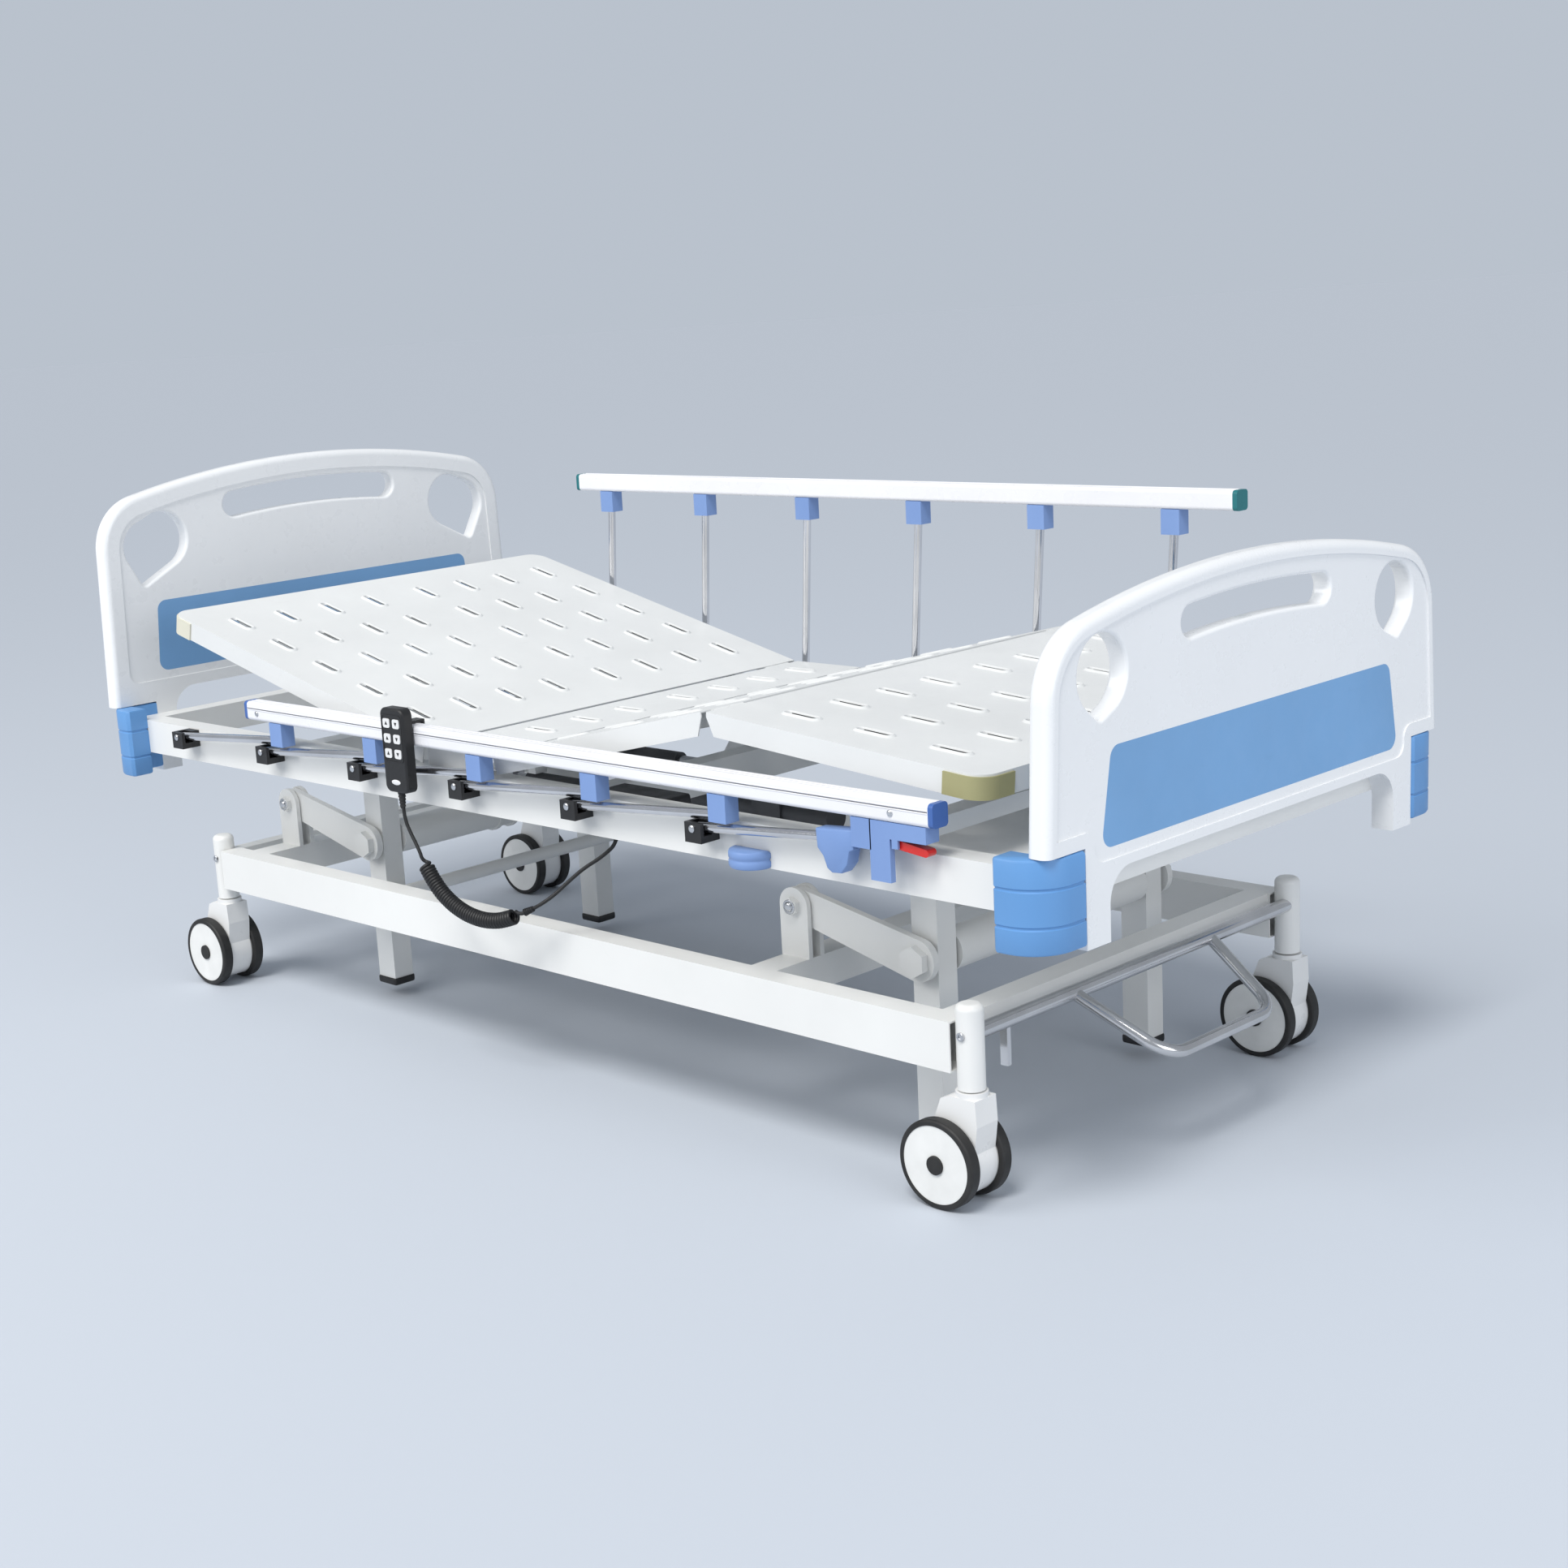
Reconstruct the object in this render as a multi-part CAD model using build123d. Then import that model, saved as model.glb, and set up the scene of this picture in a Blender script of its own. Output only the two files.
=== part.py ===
from build123d import *
from math import atan2, cos, hypot, pi, radians, sin, tan
import os

# Electric hospital bed. Millimetres, +X to the foot end, +Y to the patient's
# left, +Z up. The origin is on the floor, under the middle of the bed.

# ---------------------------------------------------------------- driving sizes
BED_LENGTH = 2150.0
HALF_LENGTH = BED_LENGTH / 2
HALF_WIDTH = 480.0            # over the corner bumpers

# castors
WHEEL_RADIUS = 62.5
WHEEL_WIDTH = 20.0
CASTOR_TRAIL = 32.0
POST_X = 874.0
POST_Y = 382.0
POST_RADIUS = 19.0
POST_BOTTOM = 165.0
POST_TOP = 283.0
STEM_RADIUS = 11.0
RUNNING = 0.05                # radial clearance of every shaft in its bore

# base frame
RAIL_BOTTOM = 187.0
RAIL_TOP = 257.0
RAIL_INNER = 362.0
RAIL_OUTER = 402.0

BEAM_X = 25.0                 # half the width of the beams under the stands
BRAKE_X = POST_X + 4
BRAKE_Z = 241.0
BRAKE_RADIUS = 11.0
BRAKE_END = 371.0

# parallel lift
ARM_LENGTH = 226.0
ARM_ANGLE = -12.3             # arm against the horizontal, as stored
HEAD_PIVOT = (-784.0, 334.0)
FOOT_PIVOT = (482.0, 334.0)
LEVER_Y = 279.0               # middle of the lever plate
LEG_Y = 246.0
PIPE_END = 221.0              # torque tube, between the legs
LEG_BOTTOM = 28.0

# bed frame
BEAM_BOTTOM = 435.0
BEAM_TOP = 495.0
BEAM_INNER = 400.0
BEAM_OUTER = 440.0

# mattress platform
SEAT_TOP = 530.0
SHEET = 2.0
FLANGE = 33.0
PLATFORM_HALF = 430.0
HINGE_DROP = 7.0              # hinge axis under the sheet's top face
SEAM = 5.0                    # from a hinge axis to each sheet's edge
BACK_HINGE_X = -178.0
THIGH_HINGE_X = -15.0
BACK_LENGTH = 730.0
THIGH_LENGTH = 486.0
LEG_LENGTH = 490.0
BACK_ANGLE = 13.4             # stored angles of the sections
THIGH_ANGLE = 13.1
LEG_ANGLE = -4.6

# linear drives
DRIVE_Z = 410.0
DRIVE_Y = 90.0
LIFT_DRIVE_Z = 361.0
DRIVE_PIN = 6.0
PIN_PLAY = 7.0                # width of a horn's slot over its pin
BACK_HORN_LEAN = 21.6         # horn against straight down, as stored
KNEE_HORN_LEAN = -4.4
LIFT_HORN_LEAN = 25.0

# side rails
RAIL_Y = 462.0
PIVOT_Z = 484.0
RAIL_POST = 312.0             # pivot to pivot
RAIL_POST_RADIUS = 7.0
RAIL_PITCH = 262.0
RAIL_POSTS = 6
FOLDED = 4.23                 # post above the horizontal, rail down
UPRIGHT = 85.6                # post above the horizontal, rail up
BAR_LENGTH = 1500.0
BAR_LEAD = 75.0               # bar's head end to its first pivot
BAR_ABOVE_PIVOT = 47.0
BAR_HEIGHT = 32.0
BAR_WIDTH = 30.0
NEAR_FIRST = -840.0           # first post of each rail
FAR_FIRST = -709.0

# end boards
BOARD_INNER_X = 1038.0
BOARD_OUTER_X = 1072.0
BOARD_BOTTOM = 388.0
BOARD_TOP = 836.0
BOARD_LEG_IN = 342.0
BUMPER_INNER = 391.0
BUMPER_BOTTOM = 395.0
BUMPER_TOP = 517.0

NEAR = -1
FAR = 1
Y_AXIS = (0, 1, 0)

os.makedirs("parts", exist_ok=True)


# ---------------------------------------------------------------- helpers
def block(x0, x1, y0, y1, z0, z1):
    """A box given by its six faces."""
    size = Box(x1 - x0, y1 - y0, z1 - z0)
    return Pos((x0 + x1) / 2, (y0 + y1) / 2, (z0 + z1) / 2) * size


def tube_x(x0, x1, y0, y1, z0, z1, wall=2.5):
    """A rectangular tube along X, open at both ends."""
    inner = block(x0 - 1, x1 + 1, y0 + wall, y1 - wall, z0 + wall, z1 - wall)
    return block(x0, x1, y0, y1, z0, z1) - inner


def tube_y(x0, x1, y0, y1, z0, z1, wall=2.5):
    """A rectangular tube along Y, open at both ends."""
    inner = block(x0 + wall, x1 - wall, y0 - 1, y1 + 1, z0 + wall, z1 - wall)
    return block(x0, x1, y0, y1, z0, z1) - inner


def tube_z(x0, x1, y0, y1, z0, z1, wall=2.5):
    """A rectangular tube along Z, open at both ends."""
    inner = block(x0 + wall, x1 - wall, y0 + wall, y1 - wall, z0 - 1, z1 + 1)
    return block(x0, x1, y0, y1, z0, z1) - inner


def shaft(start, end, radius):
    """A round bar between two points."""
    a, b = Vector(*start), Vector(*end)
    plane = Plane(origin=a, z_dir=(b - a).normalized())
    return plane * extrude(Circle(radius), (b - a).length)


def shaft_y(x, z, y0, y1, radius):
    """A round bar along Y."""
    return shaft((x, y0, z), (x, y1, z), radius)


def hex_head(x, z, y0, y1, across):
    """A hexagon bolt head along Y."""
    plane = Plane(origin=(x, y0, z), z_dir=(0, 1 if y1 > y0 else -1, 0))
    return plane * extrude(RegularPolygon(across / 2, 6, major_radius=False), abs(y1 - y0))


def side_plate(sketch, y0, y1):
    """Extrude an outline drawn as (x, z) between two values of y."""
    return Plane(origin=(0, y1, 0), x_dir=(1, 0, 0), z_dir=(0, -1, 0)) * extrude(sketch, y1 - y0, dir=(0, 0, 1))


def turn(shape, x, z, degrees_up_to_foot):
    """Turn about a Y axis; positive lifts what lies to the foot side."""
    return shape.rotate(Axis((x, 0, z), Y_AXIS), -degrees_up_to_foot)


def mirrored(shape):
    """The same shape on the other side of the bed."""
    return mirror(shape, Plane.XZ)


def both(shape):
    """A shape and its mirror image."""
    return [shape, mirrored(shape)]


def solids_of(items):
    """All solids of a list of shapes."""
    found = []
    for item in items:
        found.extend(item.solids())
    return found


def write(name, items):
    """Write one node: a single solid, or a group of separate solids."""
    solids = solids_of(items)
    shape = solids[0] if len(solids) == 1 else Compound(children=solids)
    shape.label = name
    export_step(shape, f"parts/{name}.step")
    return shape


# ---------------------------------------------------------------- places worked out
def arm_tip(pivot, angle=ARM_ANGLE):
    """The lift arm's outer pivot."""
    return (pivot[0] + ARM_LENGTH * cos(radians(angle)), pivot[1] + ARM_LENGTH * sin(radians(angle)))


HEAD_TIP = arm_tip(HEAD_PIVOT)
FOOT_TIP = arm_tip(FOOT_PIVOT)
HINGE_Z = SEAT_TOP - HINGE_DROP
KNEE = (
    THIGH_HINGE_X + THIGH_LENGTH * cos(radians(THIGH_ANGLE)),
    HINGE_Z + THIGH_LENGTH * sin(radians(THIGH_ANGLE)),
)


# ---------------------------------------------------------------- base
def corner_post(x, y):
    """Round corner post with the castor's socket and the brake bar's bearing."""
    post = Pos(x, y, (POST_BOTTOM + POST_TOP) / 2) * Cylinder(POST_RADIUS, POST_TOP - POST_BOTTOM)
    post = fillet(post.edges().sort_by(Axis.Z)[-1], 9)
    socket = Pos(x, y, POST_BOTTOM + 30) * Cylinder(STEM_RADIUS + RUNNING, 62)
    post -= socket
    if x > 0:
        post -= shaft_y(BRAKE_X, BRAKE_Z, -BRAKE_END - 2, BRAKE_END + 2, BRAKE_RADIUS + RUNNING)
    return post


def stand(pivot, side):
    """Two upright plates that hold a lift arm's fixed pivot, with its bolt."""
    x, z = pivot
    outline = Pos(x, (RAIL_TOP + z) / 2) * Rectangle(54, z - RAIL_TOP) + Pos(x, z) * Circle(27)
    outline -= Pos(x, z) * Circle(8)
    solids = [side_plate(outline, LEVER_Y - 16, LEVER_Y - 8)]
    solids.append(side_plate(outline, LEVER_Y + 8, LEVER_Y + 16))
    solids.append(shaft_y(x, z, LEVER_Y - 16, LEVER_Y + 16, 8))
    solids.append(hex_head(x, z, LEVER_Y + 16, LEVER_Y + 25, 24))
    solids.append(hex_head(x, z, LEVER_Y - 16, LEVER_Y - 24, 24))
    return solids if side == FAR else [mirrored(s) for s in solids]


def base_frame():
    """Side rails, cross beams, corner posts and the four stands."""
    reach = POST_X - POST_RADIUS
    parts = both(tube_x(-reach, reach, RAIL_INNER, RAIL_OUTER, RAIL_BOTTOM, RAIL_TOP))
    for pivot in (HEAD_PIVOT, FOOT_PIVOT):
        x = pivot[0]
        parts.append(tube_y(x - BEAM_X, x + BEAM_X, -RAIL_INNER, RAIL_INNER, RAIL_TOP - 50, RAIL_TOP))
        parts.extend(stand(pivot, NEAR) + stand(pivot, FAR))
    parts.append(tube_y(812, 852, -RAIL_INNER, RAIL_INNER, 220, RAIL_TOP))
    parts.append(tube_y(-POST_X - 15, -POST_X + 15, -POST_Y + 19.5, POST_Y - 19.5, 222, 252))
    parts.append(shaft_y(-515, 196, -RAIL_INNER, RAIL_INNER, 12))
    for x in (-POST_X, POST_X):
        for y in (-POST_Y, POST_Y):
            parts.append(corner_post(x, y))
    return parts


# ---------------------------------------------------------------- castors
def castor_housing(x, y):
    """Moulded body between the two wheels, with the stem that swivels."""
    wheel_x = x - CASTOR_TRAIL
    outline = Pos(wheel_x, WHEEL_RADIUS) * Circle(54)
    neck = Polygon(
        (wheel_x - 20, 110), (wheel_x - 4, 150), (x - 22, 156), (x + 22, 156), (x + 24, 120), (x + 16, 62),
        (wheel_x, 62), align=None,
    )
    outline += neck
    body = side_plate(outline, y - 22, y + 22)
    body -= shaft_y(wheel_x, WHEEL_RADIUS, y - 30, y + 30, 6 + RUNNING)
    collar = Pos(x, y, 159) * Cylinder(22, 8)
    stem = Pos(x, y, 190) * Cylinder(STEM_RADIUS, 60)
    return [body + collar + stem]


def wheel(x, y0, y1, hub_side):
    """One disc wheel, its tyre and its hub cap."""
    tyre = shaft_y(x, WHEEL_RADIUS, y0, y1, WHEEL_RADIUS)
    tyre -= shaft_y(x, WHEEL_RADIUS, y0 - 1, y1 + 1, WHEEL_RADIUS - 8)
    tyre = fillet(tyre.edges().filter_by(GeomType.CIRCLE).sort_by(SortBy.RADIUS)[-2:], 4)
    disc = shaft_y(x, WHEEL_RADIUS, y0 + 1, y1 - 1, WHEEL_RADIUS - 8)
    disc -= shaft_y(x, WHEEL_RADIUS, y0, y1, 6)
    outer = y1 if hub_side > 0 else y0
    cap = shaft_y(x, WHEEL_RADIUS, outer - hub_side, outer + 2 * hub_side, 13)
    return [tyre, disc, cap]


def castor_wheels(x, y):
    """The two wheels of one castor on their common axle."""
    wheel_x = x - CASTOR_TRAIL
    inner, outer = 23.0, 23.0 + WHEEL_WIDTH
    parts = wheel(wheel_x, y + inner, y + outer, 1)
    parts += wheel(wheel_x, y - outer, y - inner, -1)
    parts.append(shaft_y(wheel_x, WHEEL_RADIUS, y - outer + 1, y + outer - 1, 6))
    return parts


# ---------------------------------------------------------------- brake
def brake_pedal():
    """Bar across the foot end, with the bent foot bow and the cam lever."""
    bar = shaft_y(BRAKE_X, BRAKE_Z, -BRAKE_END, BRAKE_END, BRAKE_RADIUS)
    lip_x, lip_z = 1010.0, 165.0
    path = FilletPolyline(
        (BRAKE_X, -165, BRAKE_Z), (lip_x, -128, lip_z), (lip_x, 128, lip_z), (BRAKE_X, 165, BRAKE_Z),
        radius=48,
    )
    start = Plane(origin=path @ 0, z_dir=path % 0)
    bow = sweep(start * Circle(9), path=path)
    cam = block(BRAKE_X - 6, BRAKE_X + 6, -318, -310, BRAKE_Z - 62, BRAKE_Z)
    return [bar + bow + cam]


# ---------------------------------------------------------------- lift arms
def lift_arm(pivot, tip, driven):
    """Two levers on a torque tube, with the horns for the link and the drive."""
    parts = []
    px, pz = pivot
    tx, tz = tip
    outline = make_hull((Pos(px, pz) * Circle(25)).edges() + (Pos(tx, tz) * Circle(31)).edges())
    outline -= Pos(px, pz) * Circle(8 + RUNNING)
    outline -= Pos(tx, tz) * Circle(12)
    parts += both(side_plate(outline, LEVER_Y - 6, LEVER_Y + 6))
    parts += both(shaft_y(tx, tz, PIPE_END - 8, LEVER_Y + 6, 12))
    parts += both(hex_head(tx, tz, LEVER_Y + 6, LEVER_Y + 18, 40))
    pipe = shaft_y(tx, tz, -PIPE_END, PIPE_END, 30)
    pipe -= shaft_y(tx, tz, 8 - PIPE_END, PIPE_END - 8, 26)
    pipe -= shaft_y(tx, tz, -PIPE_END - 1, PIPE_END + 1, 12)
    parts.append(pipe)
    parts.append(link_horn(tx, tz))
    if driven:
        parts.append(drive_horn(tx, tz, LIFT_DRIVE_Z - tz, LIFT_HORN_LEAN, 0, 30, root=30, up=True))
    return parts


LINK_Y = 46.0
LINK_HORN = 90.0
LINK_LEAN = 15.0              # link horn against straight up, as stored


def link_pin(tip):
    """Where the tie link joins a horn."""
    return (tip[0] + LINK_HORN * sin(radians(LINK_LEAN)), tip[1] + LINK_HORN * cos(radians(LINK_LEAN)))


def link_horn(x, z):
    """Horn plate on a torque tube, with the tie link's pin."""
    pin_x, pin_z = link_pin((x, z))
    outline = make_hull((Pos(x, z) * Circle(34)).edges() + (Pos(pin_x, pin_z) * Circle(14)).edges())
    outline -= Pos(x, z) * Circle(30)
    plate = side_plate(outline, LINK_Y - 12, LINK_Y - 5)
    return plate + shaft_y(pin_x, pin_z, LINK_Y - 12, LINK_Y + 7, 6)


def lift_link():
    """Tie bar that makes both lift arms turn together."""
    head, foot = link_pin(HEAD_TIP), link_pin(FOOT_TIP)
    outline = make_hull((Pos(*head) * Circle(13)).edges() + (Pos(*foot) * Circle(13)).edges())
    outline -= Pos(*head) * Circle(6 + RUNNING) + Pos(*foot) * Circle(6 + RUNNING)
    return [side_plate(outline, LINK_Y - 4, LINK_Y + 4)]


def drive_horn(x, z, drop, lean, y, swing=35, root=0, weld=0, up=False):
    """A horn plate whose radial slot takes a drive's cross pin.

    The slot runs outwards from the axis (x, z). Lean is against straight down,
    or straight up, and positive to the foot side. The plate is welded to the
    torque tube of radius root on the axis, or under a tube at the distance weld.
    """
    width = 2 * DRIVE_PIN + PIN_PLAY
    out_x = sin(radians(lean))
    out_z = cos(radians(lean)) * (1 if up else -1)
    ends = []
    for distance in (drop - 2, drop / cos(radians(swing)) + 3):
        ends.append(Pos(x + distance * out_x, z + distance * out_z))
    rim = (ends[0] * Circle(width / 2 + 11)).edges() + (ends[1] * Circle(width / 2 + 11)).edges()
    foot = Pos(x, z) * Circle(root + 4) if root else Pos(x + weld, z - 26) * Circle(14)
    outline = make_hull(rim + foot.edges())
    outline -= make_hull((ends[0] * Circle(width / 2)).edges() + (ends[1] * Circle(width / 2)).edges())
    if root:
        outline -= Pos(x, z) * Circle(root)
    return side_plate(outline, y - 4, y + 4)


# ---------------------------------------------------------------- bed frame
def lift_leg(tip, side):
    """Leg that carries the bed frame on one lift arm."""
    x, z = tip
    leg = tube_z(x - 23, x + 23, LEG_Y - 20, LEG_Y + 20, LEG_BOTTOM, BEAM_BOTTOM, 3)
    bush = shaft_y(x, z, LEG_Y - 20, LEG_Y + 20, 17)
    leg = leg + bush - shaft_y(x, z, LEG_Y - 30, LEG_Y + 30, 12 + RUNNING)
    return leg if side == FAR else mirrored(leg)


CROSS_BEAMS = (HEAD_TIP[0], -420.0, 150.0, FOOT_TIP[0])


def bed_frame():
    """Side beams, end beams, cross beams, legs and the drives' hangers."""
    parts = both(tube_x(-BOARD_INNER_X, BOARD_INNER_X, BEAM_INNER, BEAM_OUTER, BEAM_BOTTOM, BEAM_TOP))
    for x in (-1018, 1018):
        parts.append(tube_y(x - 20, x + 20, -BEAM_INNER, BEAM_INNER, BEAM_BOTTOM + 10, BEAM_TOP))
    for x in CROSS_BEAMS:
        parts.append(tube_y(x - 20, x + 20, -BEAM_INNER, BEAM_INNER, BEAM_BOTTOM, BEAM_BOTTOM + 50))
    for tip in (HEAD_TIP, FOOT_TIP):
        parts += [lift_leg(tip, NEAR), lift_leg(tip, FAR)]
    for x in (-150, -45):
        parts += both(block(x - 12, x + 12, 405, 435, BEAM_TOP, SEAT_TOP - FLANGE))
    parts.append(block(790, 995, -BEAM_INNER, BEAM_INNER, BEAM_BOTTOM + 47, BEAM_BOTTOM + 50))
    hanger_top = BEAM_BOTTOM
    parts.append(block(140, 160, -DRIVE_Y - 14, -DRIVE_Y + 14, DRIVE_Z + 15.5, hanger_top))
    parts.append(block(-430, -410, -14, 14, LIFT_DRIVE_Z + 15.5, hanger_top))
    return parts


# ---------------------------------------------------------------- platform
def slot_places(x0, x1, rows, columns=8):
    """Middles of the air slots: straight rows, with a wider gap at mid-width."""
    places = []
    pitch_x = (x1 - x0) / rows
    for row in range(rows):
        x = x0 + (row + 0.5) * pitch_x
        for column in range(columns):
            y = (column - (columns - 1) / 2) * 98
            y += 12 if column >= columns / 2 else -12
            places.append((x, y))
    return places


def sheet(x0, x1, rows, end_flange):
    """A folded sheet with air slots; side flanges down, one end rounded.

    Drawn lying flat. end_flange is -1, 0 or 1: the end that carries a flange.
    """
    top = SEAT_TOP
    outer = block(x0, x1, -PLATFORM_HALF, PLATFORM_HALF, top - FLANGE, top)
    inner_x0 = x0 + (SHEET if end_flange < 0 else -1)
    inner_x1 = x1 - (SHEET if end_flange > 0 else -1)
    half = PLATFORM_HALF - SHEET
    inner = block(inner_x0, inner_x1, -half, half, top - FLANGE - 1, top - SHEET)
    if end_flange:
        end = x1 if end_flange > 0 else x0
        inner_end = inner_x1 if end_flange > 0 else inner_x0
        upright = outer.edges().filter_by(Axis.Z)
        outer = fillet(upright.filter_by(lambda e: abs(e.center().X - end) < 1), 30)
        upright = inner.edges().filter_by(Axis.Z)
        inner = fillet(upright.filter_by(lambda e: abs(e.center().X - inner_end) < 1), 28)
    tray = outer - inner
    slots = [Pos(x, y, top) * extrude(SlotOverall(58, 11), 5, both=True) for x, y in
             slot_places(x0 + 45, x1 - 45, rows)]
    return tray - slots


UNDER_TOP = SEAT_TOP - SHEET
TUBE = 25.0


def under_frame(x0, x1, cross):
    """Two tubes along a section and the tubes that cross between them."""
    parts = both(tube_x(x0, x1, 288, 288 + TUBE, UNDER_TOP - TUBE, UNDER_TOP, 2))
    for x in cross:
        parts.append(tube_y(x - TUBE / 2, x + TUBE / 2, -288, 288, UNDER_TOP - TUBE, UNDER_TOP, 2))
    return parts


def knuckle(x, y0, y1, toward, pin=False):
    """One hinge knuckle under a sheet's edge; toward is the side it is fixed on."""
    arm = block(min(x, x + 32 * toward), max(x, x + 32 * toward), y0, y1, HINGE_Z - 5, UNDER_TOP)
    arm -= block(x - 60, x + 60, y0 - 1, y1 + 1, UNDER_TOP, UNDER_TOP + 10)
    body = arm + shaft_y(x, HINGE_Z, y0, y1, HINGE_DROP)
    if pin:
        return body + shaft_y(x, HINGE_Z, y0 - 32, y1, 4)
    return body - shaft_y(x, HINGE_Z, y0 - 1, y1 + 1, 4 + RUNNING)


def back_section():
    """Backrest: sheet, tubes, hinge knuckles and the horn of its drive."""
    x1 = BACK_HINGE_X - SEAM
    x0 = BACK_HINGE_X - BACK_LENGTH
    parts = [sheet(x0, x1, 5, -1)]
    parts += under_frame(x0 + 40, x1 - 34, (x0 + 180, x0 + 420, x1 - 50))
    parts += both(knuckle(BACK_HINGE_X, 352, 380, -1))
    lean = BACK_HORN_LEAN + BACK_ANGLE
    horn = drive_horn(BACK_HINGE_X, HINGE_Z, HINGE_Z - DRIVE_Z, lean, -DRIVE_Y, weld=-SEAM - 50)
    parts.append(horn - block(-400, 100, -200, 0, UNDER_TOP - TUBE, 700))
    return [turn(p, BACK_HINGE_X, HINGE_Z, -BACK_ANGLE) for p in parts]


def seat_section():
    """Fixed seat sheet between the backrest and the thigh section."""
    x0, x1 = BACK_HINGE_X + SEAM, THIGH_HINGE_X - SEAM
    parts = [sheet(x0, x1, 1, 0)]
    parts += both(knuckle(BACK_HINGE_X, 382, 410, 1, pin=True))
    parts += both(knuckle(THIGH_HINGE_X, 382, 410, -1, pin=True))
    parts += under_frame(x0 + 36, x1 - 36, ((x0 + x1) / 2,))
    return parts


def knee_cut(x, toward):
    """Wedge that frees the flanges where the leg section folds down."""
    depth = FLANGE - HINGE_DROP
    outline = Polygon(
        (x, HINGE_Z), (x, HINGE_Z - depth - 5), (x + toward * (SEAM + 18), HINGE_Z - depth - 5),
        (x + toward * SEAM, HINGE_Z), align=None,
    )
    return side_plate(outline, -PLATFORM_HALF - 5, PLATFORM_HALF + 5)


def thigh_section():
    """Thigh sheet, hinged to the seat, with the knee drive's horn."""
    x0, x1 = THIGH_HINGE_X + SEAM, THIGH_HINGE_X + THIGH_LENGTH - SEAM
    knee_x = THIGH_HINGE_X + THIGH_LENGTH
    parts = [sheet(x0, x1, 3, 0) - knee_cut(knee_x, -1)]
    parts += under_frame(x0 + 34, x1 - 34, (x0 + 46, x1 - 60))
    parts += both(knuckle(THIGH_HINGE_X, 352, 380, 1))
    parts += both(knuckle(knee_x, 382, 410, -1, pin=True))
    lean = KNEE_HORN_LEAN - THIGH_ANGLE
    horn = drive_horn(THIGH_HINGE_X, HINGE_Z, HINGE_Z - DRIVE_Z, lean, DRIVE_Y, weld=SEAM + 46)
    parts.append(horn - block(-400, 200, 0, 200, UNDER_TOP - TUBE, 700))
    return [turn(p, THIGH_HINGE_X, HINGE_Z, THIGH_ANGLE) for p in parts]


def leg_placed(shape):
    """Carry a flat leg section to the knee and tilt it."""
    moved = Pos(KNEE[0] - THIGH_HINGE_X - THIGH_LENGTH, 0, KNEE[1] - HINGE_Z) * shape
    return turn(moved, KNEE[0], KNEE[1], LEG_ANGLE)


def leg_section():
    """Leg sheet, hinged to the thigh section at the knee."""
    knee_x = THIGH_HINGE_X + THIGH_LENGTH
    x0, x1 = knee_x + SEAM, knee_x + LEG_LENGTH
    parts = [sheet(x0, x1, 3, 1) - knee_cut(knee_x, 1)]
    parts += under_frame(x0 + 34, x1 - 40, (x0 + 60, x1 - 110))
    parts += both(knuckle(knee_x, 352, 380, 1))
    return [leg_placed(p) for p in parts]


CAP = 3.0
CAP_SIZE = 62.0


def corner_caps(x_end, toward):
    """Plastic caps round the two free corners of a flat section."""
    x0, x1 = sorted((x_end, x_end - toward * 200))
    outer = block(x0 - CAP, x1 + CAP, -PLATFORM_HALF - CAP, PLATFORM_HALF + CAP,
                  SEAT_TOP - FLANGE, SEAT_TOP - 3)
    outer = fillet(outer.edges().filter_by(Axis.Z), 33)
    inner = block(x0, x1, -PLATFORM_HALF, PLATFORM_HALF, SEAT_TOP - FLANGE, SEAT_TOP)
    inner = fillet(inner.edges().filter_by(Axis.Z), 30)
    corner_x = sorted((x_end + toward * CAP, x_end - toward * CAP_SIZE))
    keep = block(*corner_x, PLATFORM_HALF - CAP_SIZE, PLATFORM_HALF + CAP,
                 SEAT_TOP - FLANGE, SEAT_TOP - 3)
    return both((outer - inner) & keep)


# ---------------------------------------------------------------- drives
def horn_pin_x(hinge_x, drop, lean, gain):
    """The cross pin's place at rest; gain makes its travel straight in the angle."""
    return hinge_x + drop * gain * radians(lean)


BACK_GAIN = 1.115
KNEE_GAIN = 1.03
LIFT_GAIN = 1.075
BACK_PIN_X = horn_pin_x(BACK_HINGE_X, HINGE_Z - DRIVE_Z, BACK_HORN_LEAN, BACK_GAIN)
KNEE_PIN_X = horn_pin_x(THIGH_HINGE_X, HINGE_Z - DRIVE_Z, KNEE_HORN_LEAN, KNEE_GAIN)
LIFT_PIN_X = horn_pin_x(HEAD_TIP[0], LIFT_DRIVE_Z - HEAD_TIP[1], LIFT_HORN_LEAN, LIFT_GAIN)


def drive_tube(x_mouth, toward, length, y, z, motor=95.0):
    """Outer tube, gearbox and motor of a linear drive; toward is where it pushes."""
    back = x_mouth - toward * length
    tube = shaft((x_mouth, y, z), (back, y, z), 15.5)
    tube -= shaft((x_mouth + toward, y, z), (back + toward * 10, y, z), 10 + RUNNING)
    ends = sorted((back, back - toward * 60))
    gearbox = block(*ends, y - 25, y + 25, z - 25, z + 24)
    case = shaft((back - toward * 60, y, z), (back - toward * (60 + motor), y, z), 22)
    return [tube + gearbox + case]


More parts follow.
